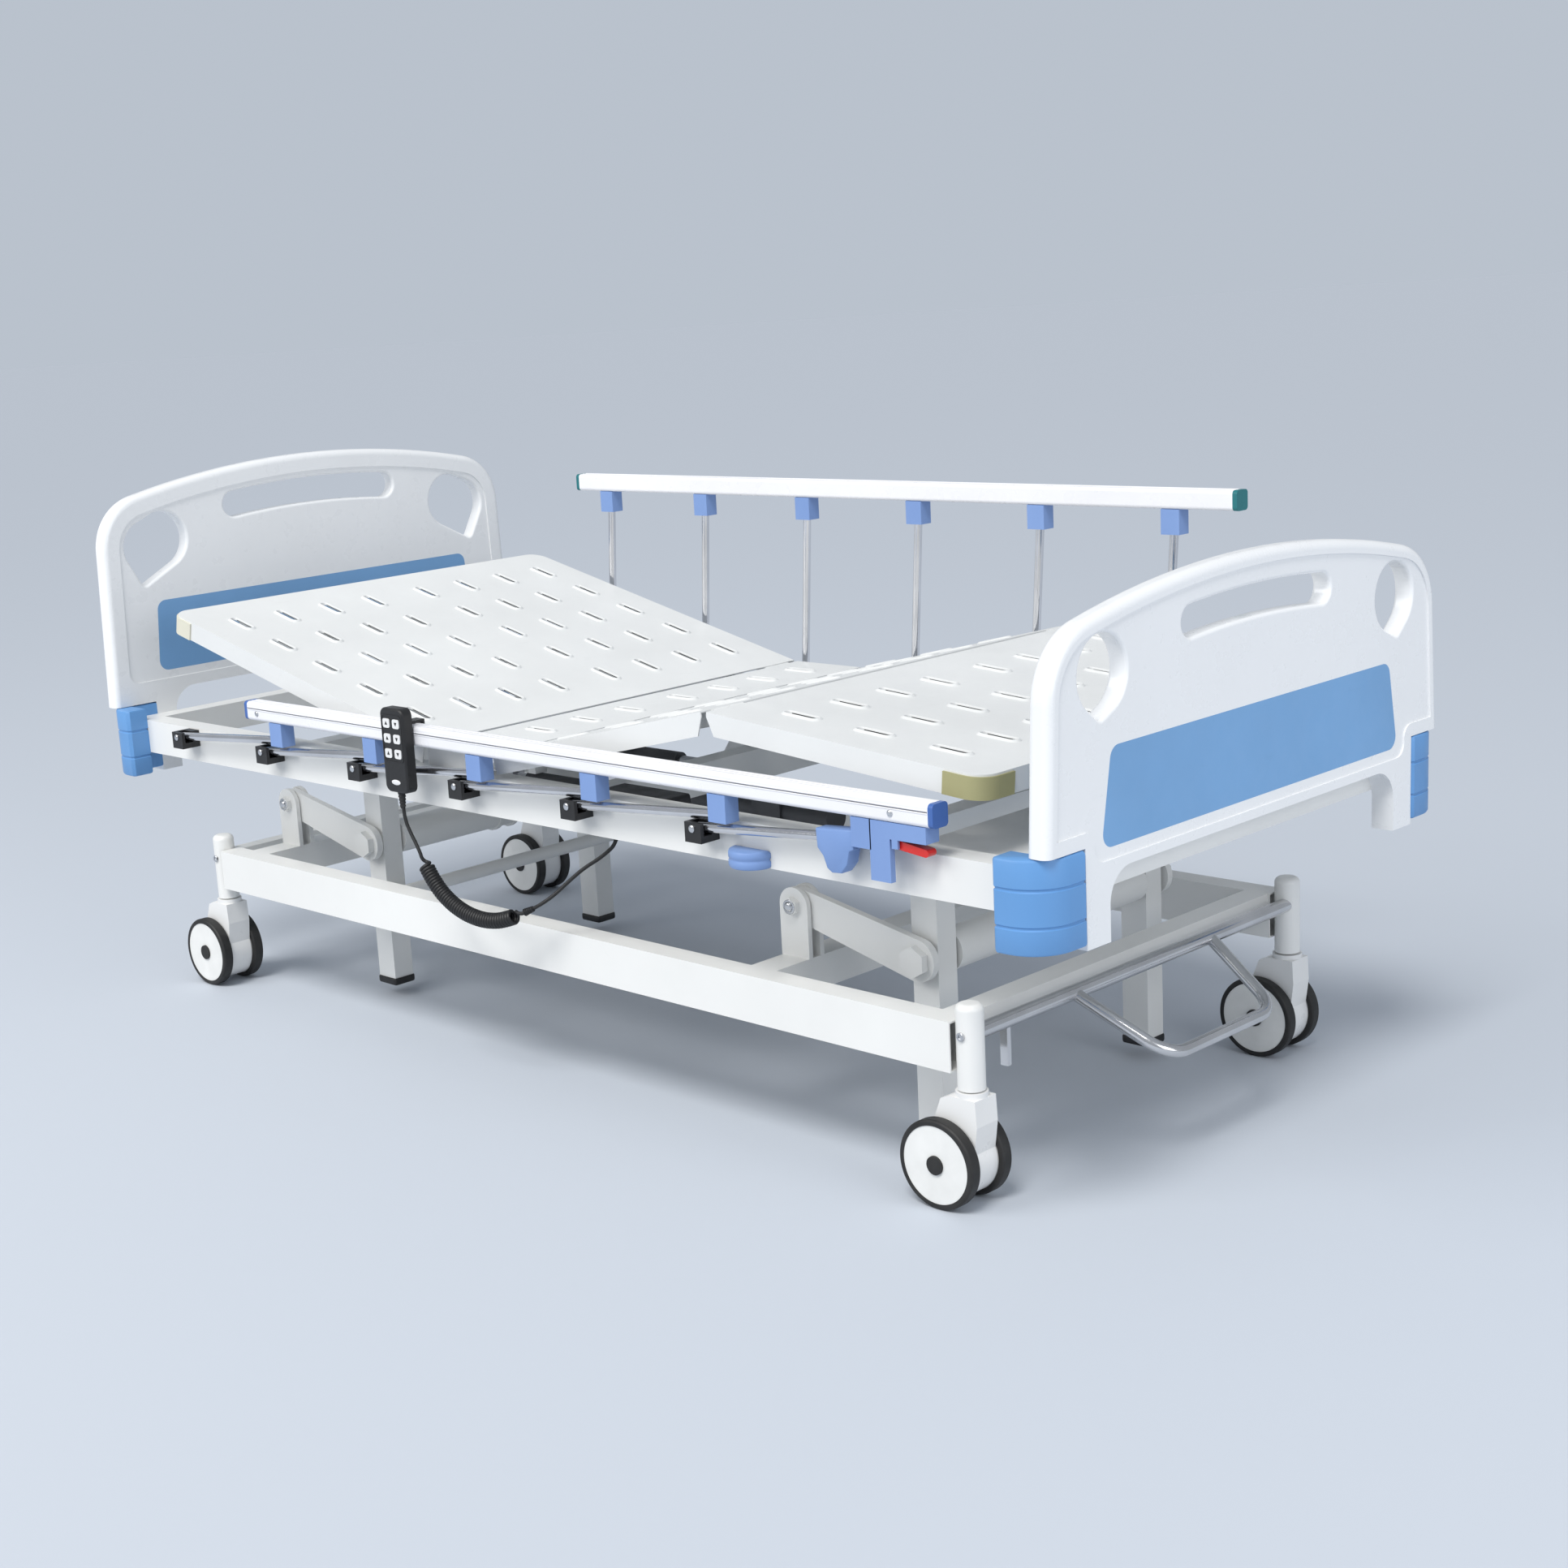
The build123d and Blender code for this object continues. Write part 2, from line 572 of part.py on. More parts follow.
def drive_rod(pin_x, toward, length, y, z):
    """Inner rod of a linear drive, with the fork and pin that work in a horn."""
    tail = pin_x - toward * length
    rod = shaft((pin_x - toward * 40, y, z), (tail, y, z), 10)
    crown = block(*sorted((pin_x - toward * 40, pin_x - toward * 54)), y - 14, y + 14, z - 12, z + 12)
    rod += crown
    for side in (-1, 1):
        cheek = block(*sorted((pin_x + toward * 10, pin_x - toward * 54)),
                      *sorted((y + side * 7, y + side * 14)), z - 12, z + 12)
        rod += cheek
    return [rod + shaft_y(pin_x, z, y - 14, y + 14, DRIVE_PIN)]


# ---------------------------------------------------------------- side rails
def post_vector(angle):
    """From a post's lower pivot to its upper pivot."""
    return RAIL_POST * cos(radians(angle)), RAIL_POST * sin(radians(angle))


def rail_post(x, side, angle):
    """One round post with an eye at each end."""
    dx, dz = post_vector(angle)
    y = side * RAIL_Y
    post = shaft((x, y, PIVOT_Z), (x + dx, y, PIVOT_Z + dz), RAIL_POST_RADIUS)
    post += Pos(x, y, PIVOT_Z) * Sphere(RAIL_POST_RADIUS)
    post += Pos(x + dx, y, PIVOT_Z + dz) * Sphere(RAIL_POST_RADIUS)
    for px, pz in ((x, PIVOT_Z), (x + dx, PIVOT_Z + dz)):
        post -= shaft_y(px, pz, y - 12, y + 12, 3 + RUNNING)
    return [post]


def rail_bracket(x, side):
    """Black clevis on the side beam that holds a post's foot, with its pin."""
    y0, y1 = BEAM_OUTER, RAIL_Y + 14
    body = block(x - 15, x + 17, y0, y1, 464, 493)
    body -= block(x - 9, x + 30, RAIL_Y - 8, RAIL_Y + 8, PIVOT_Z - 10, 500)
    body += shaft_y(x, PIVOT_Z, RAIL_Y - 13, RAIL_Y + 13, 3)
    return body if side == FAR else mirrored(body)


def rail_top_pivot(first, angle, index=0):
    """The upper pivot of one post."""
    dx, dz = post_vector(angle)
    return first + RAIL_PITCH * index + dx, PIVOT_Z + dz


def rail_bar(first, side, angle):
    """Hollow top bar of a side rail."""
    x, z = rail_top_pivot(first, angle)
    x -= BAR_LEAD
    z += BAR_ABOVE_PIVOT
    y = side * RAIL_Y
    half_w, half_h = BAR_WIDTH / 2, BAR_HEIGHT / 2
    bar = block(x, x + BAR_LENGTH, y - half_w, y + half_w, z - half_h, z + half_h)
    bar = fillet(bar.edges().filter_by(Axis.X), 6)
    bar -= block(x - 1, x + BAR_LENGTH + 1, y - half_w + 2, y + half_w - 2, z - half_h + 2, z + half_h - 2)
    return [bar]


LATCH_START = 1400.0          # along the near bar, from its head end
LATCH_END = 1494.0
FAR_LATCH_X = 464.0           # lever pin of the far rail's latch, on the side beam
FAR_LATCH_Z = 456.0


def rail_fittings(first, side, angle):
    """Sockets with their pins and end caps; the near rail's latch body as well."""
    parts = []
    x_bar = rail_top_pivot(first, angle)[0] - BAR_LEAD
    z_pivot = PIVOT_Z + post_vector(angle)[1]
    bar_bottom = z_pivot + BAR_ABOVE_PIVOT - BAR_HEIGHT / 2
    for index in range(RAIL_POSTS):
        x = rail_top_pivot(first, angle, index)[0]
        socket = block(x - 17, x + 17, RAIL_Y - 13, RAIL_Y + 13, z_pivot - 9, bar_bottom)
        socket -= block(x - 20, x + 12, RAIL_Y - 8, RAIL_Y + 8, z_pivot - 12, z_pivot + 12)
        socket += shaft_y(x, z_pivot, RAIL_Y - 13, RAIL_Y + 13, 3)
        parts.append(socket)
    half_h = BAR_HEIGHT / 2
    middle = bar_bottom + half_h
    for x0, x1 in ((x_bar - 8, x_bar), (x_bar + BAR_LENGTH, x_bar + BAR_LENGTH + 8)):
        cap = block(x0, x1, RAIL_Y - 15, RAIL_Y + 15, middle - half_h, middle + half_h)
        parts.append(fillet(cap.edges().filter_by(Axis.X), 6))
    if side == FAR:
        return parts
    x0, x1 = x_bar + LATCH_START, x_bar + LATCH_END
    latch = block(x0, x1, RAIL_Y - 13, RAIL_Y + 13, bar_bottom - 22, bar_bottom)
    leg = block(x0, x0 + 34, RAIL_Y + 4, RAIL_Y + 13, bar_bottom - 80, bar_bottom - 22)
    latch = latch + leg + shaft_y(x0 + 42, bar_bottom - 29, RAIL_Y - 10, RAIL_Y + 10, 3)
    latch += block(x0 + 37, x0 + 47, RAIL_Y - 13, RAIL_Y - 9, bar_bottom - 34, bar_bottom - 22)
    latch += block(x0 + 37, x0 + 47, RAIL_Y + 9, RAIL_Y + 13, bar_bottom - 34, bar_bottom - 22)
    parts.append(latch)
    return [mirrored(p) for p in parts]


def release_lever(x, z, length, drop):
    """Red lever on its pin, pointing to the foot end."""
    outline = make_hull((Pos(x, z) * Circle(6)).edges() + (Pos(x + length, z - drop) * Circle(5)).edges())
    outline -= Pos(x, z) * Circle(3 + RUNNING)
    return side_plate(outline, RAIL_Y - 8, RAIL_Y + 8)


def near_rail_release(first, angle):
    """Lever under the near rail's latch body."""
    x_bar = rail_top_pivot(first, angle)[0] - BAR_LEAD
    bar_bottom = PIVOT_Z + post_vector(angle)[1] + BAR_ABOVE_PIVOT - BAR_HEIGHT / 2
    return [mirrored(release_lever(x_bar + LATCH_START + 42, bar_bottom - 29, 46, 6))]


def far_latch():
    """Latch housing of the far rail on the outside of the far side beam."""
    x, z = FAR_LATCH_X, FAR_LATCH_Z
    body = block(x - 74, x - 8, BEAM_OUTER, RAIL_Y + 13, 444, 478)
    for y0, y1 in ((RAIL_Y - 13, RAIL_Y - 9), (RAIL_Y + 9, RAIL_Y + 13)):
        body += block(x - 14, x + 5, y0, y1, z - 6, z + 6)
    return body + shaft_y(x, z, RAIL_Y - 10, RAIL_Y + 10, 3)


# ---------------------------------------------------------------- end boards
TOP_RADIUS = 1806.0
SHOULDER_RADIUS = 100.0
ARCH_RADIUS = 45.0
PANEL_DEEP = 2.0
RIM_DEEP = 2.5                # each face is let in inside its rim
# The two boards differ in height and in the size of their openings. Each hole
# is the hull of circles (y, z, radius).
FOOT = {
    "side": 1, "top": 836.0, "low": 467.0, "high": 452.0, "arch_half": 342.0, "arch_top": 480.0,
    "rim": 19.0, "slot_drop": 65.0, "slot_half": 155.0, "slot_height": 42.0,
    "panel": (508.0, 635.0, 355.0, 331.0), "hole": ((345, 727, 50), (351, 680, 10)),
}
HEAD = {
    "side": -1, "top": 940.0, "low": 476.0, "high": 464.0, "arch_half": 350.0, "arch_top": 537.0,
    "rim": 34.0, "slot_drop": 70.0, "slot_half": 176.0, "slot_height": 48.0,
    "panel": (572.0, 702.0, 374.0, 364.0), "hole": ((339, 813, 52), (372, 803, 48), (383, 742, 9)),
}


def outer_face(size):
    """Outline of an end board without its arch, drawn as (y, z)."""
    top, high = size["top"], size["high"]
    low_z = BUMPER_TOP + 1
    shoulder = (high, top - TOP_RADIUS + (TOP_RADIUS ** 2 - high ** 2) ** 0.5)
    edges = [ThreePointArc(shoulder, (0, top), (-shoulder[0], shoulder[1]))]
    for s in (1, -1):
        edges.append(Line((s * shoulder[0], shoulder[1]), (s * size["low"], low_z)))
        edges.append(Line((s * size["low"], low_z), (s * BUMPER_INNER, low_z)))
        edges.append(Line((s * BUMPER_INNER, low_z), (s * BUMPER_INNER, BOARD_BOTTOM)))
    edges.append(Line((BUMPER_INNER, BOARD_BOTTOM), (-BUMPER_INNER, BOARD_BOTTOM)))
    outline = make_face(edges)
    return fillet(outline.vertices().filter_by(lambda v: v.Y > top - 100), SHOULDER_RADIUS)


def board_face(size):
    """Outline of an end board with the arch under it."""
    height = size["arch_top"] - BOARD_BOTTOM
    arch = Pos(0, BOARD_BOTTOM) * RectangleRounded(2 * size["arch_half"], 2 * height, ARCH_RADIUS)
    return outer_face(size) - arch


def inner_field(size):
    """The part of a face inside its raised rim, above the arch."""
    low = size["panel"][0] - 15
    field = offset(outer_face(size), -size["rim"])
    field &= Pos(0, (low + size["top"]) / 2) * Rectangle(2 * HALF_WIDTH, size["top"] - low)
    return fillet(field.vertices().filter_by(lambda v: v.Y < low + 1), 20)


def handle_slot(size):
    """Arched hand slot under the board's top edge."""
    radius = TOP_RADIUS - size["slot_drop"]
    half = size["slot_half"] / radius * 180 / pi
    arc = CenterArc((0, size["top"] - TOP_RADIUS), radius, 90 - half, 2 * half)
    return SlotArc(arc, size["slot_height"])


def side_holes(size):
    """Two tapering holes beside the hand slot."""
    holes = []
    for s in (1, -1):
        rims = []
        for y, z, radius in size["hole"]:
            seam = 90 if z < size["hole"][0][1] - 20 else -90
            rims += (Pos(s * y, z) * Rot(0, 0, seam) * Circle(radius)).edges()
        holes.append(make_hull(rims))
    return holes


def panel_face(size):
    """Outline of the coloured panel, wider at its foot."""
    low, high, wide, narrow = size["panel"]
    outline = Polygon((-wide, low), (wide, low), (narrow, high), (-narrow, high), align=None)
    return fillet(outline.vertices(), 18)


def on_board_face(edge, deep=0.0):
    """Whether an edge lies in one of a board's two faces, or as deep under them."""
    x = edge.center().X
    return abs(x - BOARD_INNER_X - deep) < 0.1 or abs(x - BOARD_OUTER_X + deep) < 0.1


def both_faces(outline, deep):
    """Cutters for both faces of a board, as deep as given."""
    cutters = []
    for x in (BOARD_INNER_X, BOARD_OUTER_X):
        cutters.append(extrude(Plane.YZ.offset(x) * outline, deep, both=True))
    return cutters


def board(size):
    """One moulded end board, drawn at the foot end."""
    thick = BOARD_OUTER_X - BOARD_INNER_X
    body = extrude(Plane.YZ.offset(BOARD_INNER_X) * board_face(size), thick)
    rim = body.edges().filter_by(lambda e: on_board_face(e) and e.center().Z > 580 and e.length > 60)
    body = fillet(rim, 12)
    body -= both_faces(inner_field(size), RIM_DEEP)
    kept = [e.center() for e in body.edges()]
    for hole in (handle_slot(size), *side_holes(size)):
        body -= extrude(Plane.YZ.offset(BOARD_INNER_X - 1) * hole, thick + 2)
    lips = body.edges().filter_by(
        lambda e: on_board_face(e, RIM_DEEP) and all((e.center() - c).length > 0.1 for c in kept)
    )
    body = fillet(lips, 5)
    body -= both_faces(panel_face(size), RIM_DEEP + PANEL_DEEP)
    return [body if size["side"] > 0 else mirror(body, Plane.YZ)]


def board_panels():
    """Coloured panels let into both faces of both boards."""
    panels = []
    for size in (FOOT, HEAD):
        for x in (BOARD_OUTER_X - RIM_DEEP - PANEL_DEEP, BOARD_INNER_X + RIM_DEEP):
            panel = extrude(Plane.YZ.offset(x) * panel_face(size), PANEL_DEEP)
            panels.append(panel if size["side"] > 0 else mirror(panel, Plane.YZ))
    return panels


def corner_bumpers():
    """Four corner bumpers and one half-round bumper on each side beam."""
    x_back = 995.0
    outline = Polygon(
        (x_back, BEAM_OUTER), (BOARD_INNER_X, BEAM_OUTER), (BOARD_INNER_X, BUMPER_INNER),
        (HALF_LENGTH, BUMPER_INNER), (HALF_LENGTH, HALF_WIDTH), (x_back, HALF_WIDTH), align=None,
    )
    corner = outline.vertices().sort_by(lambda v: v.X + v.Y)[-1]
    outline = fillet(corner, 58)
    height = BUMPER_TOP - BUMPER_BOTTOM
    one = Pos(0, 0, BUMPER_BOTTOM) * extrude(outline, height)
    parts = []
    for corner_piece in (one, mirror(one, Plane.YZ)):
        parts += both(corner_piece)
    knob = Pos(550, BEAM_OUTER, 448) * (Cylinder(34, 26) & Pos(0, 25, 0) * Box(80, 50, 30))
    parts += both(knob)
    return parts


# ---------------------------------------------------------------- handset and box
HANDSET_X = -170.0
HANDSET_BOTTOM = 465.0
HANDSET_TOP = 600.0
HANDSET_FACE = -499.0
HANDSET_BACK = -480.0
KEY_TRAVEL = 1.0
KEYS = [(column, row) for row in range(3) for column in range(2)]


def key_place(column, row):
    """Middle of one key on the handset's face."""
    return HANDSET_X - 12 + 24 * column, HANDSET_TOP - 24 - 24 * row


def handset_case():
    """Handset shell with its key wells and the hook over the rail."""
    height = HANDSET_TOP - HANDSET_BOTTOM
    case = block(HANDSET_X - 29, HANDSET_X + 29, HANDSET_FACE, HANDSET_BACK, HANDSET_BOTTOM, HANDSET_TOP)
    case = fillet(case.edges().filter_by(Axis.Y), 12)
    case = fillet(case.faces().sort_by(Axis.Y)[0].edges(), 4)
    for column, row in KEYS:
        x, z = key_place(column, row)
        well = Plane(origin=(x, HANDSET_FACE - 1, z), x_dir=(1, 0, 0), z_dir=(0, 1, 0))
        case -= well * extrude(RectangleRounded(17.4, 15.4, 4), 7)
    bar_top = PIVOT_Z + post_vector(FOLDED)[1] + BAR_ABOVE_PIVOT + BAR_HEIGHT / 2
    hook = block(HANDSET_X - 10, HANDSET_X + 10, HANDSET_BACK, -RAIL_Y + 21, bar_top + 1, bar_top + 5)
    hook += block(HANDSET_X - 10, HANDSET_X + 10, -RAIL_Y + 17, -RAIL_Y + 21, bar_top - 18, bar_top + 1)
    return [case + hook]


def handset_key(column, row):
    """One key with its stem end in the well."""
    x, z = key_place(column, row)
    plane = Plane(origin=(x, HANDSET_FACE - 1.2, z), x_dir=(1, 0, 0), z_dir=(0, 1, 0))
    return [plane * extrude(RectangleRounded(16.6, 14.6, 3.6), 4.6)]


BOX_LOW = 442.0


def control_box():
    """Control box behind the side beam, with the handset cable's gland."""
    body = block(174, 320, -396, -332, BOX_LOW, BOX_LOW + 46)
    body = fillet(body.edges().filter_by(Axis.Y), 5)
    gland = Pos(*GLAND, BOX_LOW - 4) * Cylinder(9, 8)
    return [body + gland]


GLAND = (200.0, -372.0)

# ---------------------------------------------------------------- handset cable
CABLE_RADIUS = 3.0
COIL_RADIUS = 13.0
LEAD_FROM_HANDSET = [
    (-170, -490, 465), (-170, -490, 440), (-166, -490, 414), (-149, -489, 388.5), (-137, -489, 370),
]
COIL_LINE = [
    (-137, -489, 370), (-113, -489, 333), (-83, -488, 305), (-41, -486, 286), (5, -481, 279),
    (48, -473, 286), (84, -463, 303),
]
LEAD_TO_BOX = [
    (84, -463, 303), (102, -458, 311.5), (122, -441, 328), (138, -424, 348), (158, -408, 369),
    (182, -391, 386), (200, -372, 408), (200, -372, 434),
]


def corner_radii(points):
    """The largest arc that each corner's two runs allow."""
    radii = []
    for before, here, after in zip(points, points[1:], points[2:]):
        a = Vector(*here) - Vector(*before)
        b = Vector(*after) - Vector(*here)
        half_turn = radians(a.get_angle(b)) / 2
        radii.append(0.45 * min(a.length, b.length) / tan(half_turn))
    return radii


def cable(name, points, radius):
    """A round solid along straight runs joined by tangent arcs."""
    radii = corner_radii(points)
    path = FilletPolyline(*points, radius=radii)
    start = Plane(origin=path @ 0, z_dir=path % 0)
    solid = sweep(start * Circle(radius), path=path)
    expected = pi * radius ** 2 * path.length
    print(name, "length", round(path.length, 1), "volume ratio", round(solid.volume / expected, 4))
    print("  radii", [round(r) for r in radii])
    return [solid]


# ---------------------------------------------------------------- write every node
write("base_frame", base_frame())
write("brake_pedal", brake_pedal())
CASTORS = {"head_right": (-1, NEAR), "head_left": (-1, FAR), "foot_right": (1, NEAR), "foot_left": (1, FAR)}
for place, (end, side) in CASTORS.items():
    write(f"castor_housing_{place}", castor_housing(end * POST_X, side * POST_Y))
    write(f"castor_wheels_{place}", castor_wheels(end * POST_X, side * POST_Y))

write("head_lift_arm", lift_arm(HEAD_PIVOT, HEAD_TIP, driven=True))
write("foot_lift_arm", lift_arm(FOOT_PIVOT, FOOT_TIP, driven=False))
write("lift_link", lift_link())
write("bed_frame", bed_frame())

write("headboard", board(HEAD))
write("footboard", board(FOOT))
write("board_panels", board_panels())
write("corner_bumpers", corner_bumpers())

write("back_section", back_section())
write("seat_section", seat_section())
write("thigh_section", thigh_section())
write("leg_section", leg_section())
back_caps = corner_caps(BACK_HINGE_X - BACK_LENGTH, -1)
write("back_end_caps", [turn(c, BACK_HINGE_X, HINGE_Z, -BACK_ANGLE) for c in back_caps])
leg_caps = corner_caps(THIGH_HINGE_X + THIGH_LENGTH + LEG_LENGTH, 1)
write("leg_end_caps", [leg_placed(c) for c in leg_caps])

write("back_actuator", drive_tube(-20, -1, 250, -DRIVE_Y, DRIVE_Z))
write("back_actuator_rod", drive_rod(BACK_PIN_X, -1, 300, -DRIVE_Y, DRIVE_Z))
write("knee_actuator", drive_tube(-140, 1, 235, DRIVE_Y, DRIVE_Z))
write("knee_actuator_rod", drive_rod(KNEE_PIN_X, 1, 230, DRIVE_Y, DRIVE_Z))
write("lift_actuator", drive_tube(-440, -1, 250, 0, LIFT_DRIVE_Z))
write("lift_actuator_rod", drive_rod(LIFT_PIN_X, -1, 260, 0, LIFT_DRIVE_Z))
write("control_box", control_box())

RAILS = {"near": (NEAR_FIRST, NEAR, FOLDED), "far": (FAR_FIRST, FAR, UPRIGHT)}
brackets = []
for name, (first, side, angle) in RAILS.items():
    for index in range(RAIL_POSTS):
        x = first + RAIL_PITCH * index
        write(f"{name}_rail_post_{index + 1}", rail_post(x, side, angle))
        brackets.append(rail_bracket(x, side))
    write(f"{name}_rail_bar", rail_bar(first, side, angle))
    write(f"{name}_rail_fittings", rail_fittings(first, side, angle))
write("rail_brackets", brackets + [far_latch()])
write("near_rail_release", near_rail_release(NEAR_FIRST, FOLDED))
write("far_rail_release", [release_lever(FAR_LATCH_X, FAR_LATCH_Z, 40, 6)])

write("handset_case", handset_case())
for number, (column, row) in enumerate(KEYS):
    write(f"handset_key_{number + 1}", handset_key(column, row))
write("handset_cord_lead", cable("handset lead", LEAD_FROM_HANDSET, CABLE_RADIUS))
write("handset_cord_coil", cable("coil", COIL_LINE, COIL_RADIUS))
write("handset_cord_box_lead", cable("box lead", LEAD_TO_BOX, CABLE_RADIUS))
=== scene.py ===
from math import cos, pi, radians, sin

import bmesh
import bpy
from mathutils import Matrix, Vector


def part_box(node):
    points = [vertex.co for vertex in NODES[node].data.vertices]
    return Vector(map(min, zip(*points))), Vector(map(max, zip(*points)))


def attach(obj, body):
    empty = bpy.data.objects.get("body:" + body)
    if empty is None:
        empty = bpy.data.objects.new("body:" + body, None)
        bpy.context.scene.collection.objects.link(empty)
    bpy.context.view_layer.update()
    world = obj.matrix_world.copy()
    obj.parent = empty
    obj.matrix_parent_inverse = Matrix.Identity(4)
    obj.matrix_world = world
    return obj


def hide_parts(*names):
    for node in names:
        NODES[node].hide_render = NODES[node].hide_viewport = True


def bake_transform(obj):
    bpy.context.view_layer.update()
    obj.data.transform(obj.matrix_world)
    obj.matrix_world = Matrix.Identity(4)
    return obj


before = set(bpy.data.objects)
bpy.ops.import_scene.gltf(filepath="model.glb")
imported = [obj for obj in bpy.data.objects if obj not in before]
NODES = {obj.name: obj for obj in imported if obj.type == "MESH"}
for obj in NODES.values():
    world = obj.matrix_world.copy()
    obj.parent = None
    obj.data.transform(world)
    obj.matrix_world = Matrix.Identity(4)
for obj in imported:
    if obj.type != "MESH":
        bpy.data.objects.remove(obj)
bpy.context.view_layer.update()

MM = 0.001


# ---------------------------------------------------------------- camera
def make_camera():
    """Camera of the reference view: 46.85 degrees round, 12.97 above, 3.58 rolled."""
    azimuth, elevation, roll = radians(46.85), radians(12.97), radians(-3.58)
    back = Vector((sin(azimuth) * cos(elevation), -cos(azimuth) * cos(elevation), sin(elevation)))
    right = Vector((0, 0, 1)).cross(back).normalized()
    up = back.cross(right)
    rolled_right = cos(roll) * right + sin(roll) * up
    rolled_up = -sin(roll) * right + cos(roll) * up
    data = bpy.data.cameras.new("camera")
    data.sensor_width = 36.0
    data.lens = 53.71
    data.shift_x = 0.0724
    data.shift_y = 0.0218
    data.clip_start, data.clip_end = 0.05, 60
    camera = bpy.data.objects.new("camera", data)
    bpy.context.scene.collection.objects.link(camera)
    turn = Matrix((rolled_right, rolled_up, back)).transposed().to_4x4()
    camera.matrix_world = Matrix.Translation((2.744, -2.647, 1.225)) @ turn
    bpy.context.scene.camera = camera


make_camera()


# ---------------------------------------------------------------- mesh helpers
def new_piece(name, verts, faces, material, body=None, smooth=True):
    """A mesh object from points in millimetres, riding on a body."""
    mesh = bpy.data.meshes.new(name)
    mesh.from_pydata([tuple(c * MM for c in v) for v in verts], [], faces)
    mesh.validate()
    mesh.update()
    bm = bmesh.new()
    bm.from_mesh(mesh)
    bmesh.ops.remove_doubles(bm, verts=bm.verts, dist=1e-6)
    bmesh.ops.recalc_face_normals(bm, faces=bm.faces)
    bm.to_mesh(mesh)
    bm.free()
    for polygon in mesh.polygons:
        polygon.use_smooth = smooth
    if smooth:
        mesh.set_sharp_from_angle(angle=radians(38))
    piece = bpy.data.objects.new(name, mesh)
    bpy.context.scene.collection.objects.link(piece)
    mesh.materials.append(material)
    if body:
        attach(piece, body)
    return piece


class Shape:
    """Points and faces gathered for one piece, in millimetres."""

    def __init__(self):
        self.verts = []
        self.faces = []

    def grid(self, rings, closed=True, caps=False):
        """Join rings of points with quads; a closed ring wraps, caps fill both ends."""
        start = len(self.verts)
        count = len(rings[0])
        for ring in rings:
            self.verts.extend(tuple(p) for p in ring)
        for i in range(len(rings) - 1):
            for j in range(count if closed else count - 1):
                a = start + i * count + j
                b = start + i * count + (j + 1) % count
                self.faces.append((a, b, b + count, a + count))
        if caps:
            last = start + (len(rings) - 1) * count
            self.faces.append(tuple(range(start, start + count)))
            self.faces.append(tuple(range(last, last + count)))

    def lathe(self, origin, axis, profile, segments=24):
        """Turn (distance along, radius) pairs about an axis through origin."""
        direction = Vector(axis).normalized()
        side = direction.orthogonal().normalized()
        other = direction.cross(side)
        rings = []
        for along, radius in profile:
            ring = []
            for k in range(segments):
                angle = 2 * pi * k / segments
                spoke = cos(angle) * side + sin(angle) * other
                ring.append(Vector(origin) + along * direction + max(radius, 0.01) * spoke)
            rings.append(ring)
        self.grid(rings, caps=True)

    def prism(self, outline, place, levels):
        """Stack a closed outline at levels of (distance, inset); place maps it to space."""
        rings = []
        for distance, inset in levels:
            rings.append([place(u, v, distance) for u, v in inset_outline(outline, inset)])
        self.grid(rings, caps=True)

    def piece(self, name, material, slot, body=None, smooth=True):
        return new_piece(name, self.verts, self.faces, material, body, smooth)


def inset_outline(outline, inset):
    """Move each point of a closed outline inwards along its mitre."""
    if not inset:
        return outline
    count = len(outline)
    area = sum(
        outline[i][0] * outline[(i + 1) % count][1] - outline[(i + 1) % count][0] * outline[i][1]
        for i in range(count)
    )
    sign = 1 if area > 0 else -1
    moved = []
    for i in range(count):
        before, here, after = (Vector(outline[k % count]) for k in (i - 1, i, i + 1))
        a = (here - before).normalized()
        b = (after - here).normalized()
        normal_a = Vector((-a.y, a.x)) * sign
        normal_b = Vector((-b.y, b.x)) * sign
        mitre = normal_a + normal_b
        moved.append(tuple(here + mitre * (2 * inset / max(mitre.length_squared, 0.5))))
    return moved


def arc(centre, radius, start, end, steps=8):
    """Points of an arc, angles in degrees."""
    points = []
    for k in range(steps + 1):
        angle = radians(start + (end - start) * k / steps)
        points.append((centre[0] + radius * cos(angle), centre[1] + radius * sin(angle)))
    return points


def rounded(width, height, radius, steps=6):
    """A rounded rectangle about the origin."""
    points = []
    for cx, cy, start in ((1, 1, 0), (-1, 1, 90), (-1, -1, 180), (1, -1, 270)):
        centre = (cx * (width / 2 - radius), cy * (height / 2 - radius))
        points += arc(centre, radius, start, start + 90, steps)
    return points


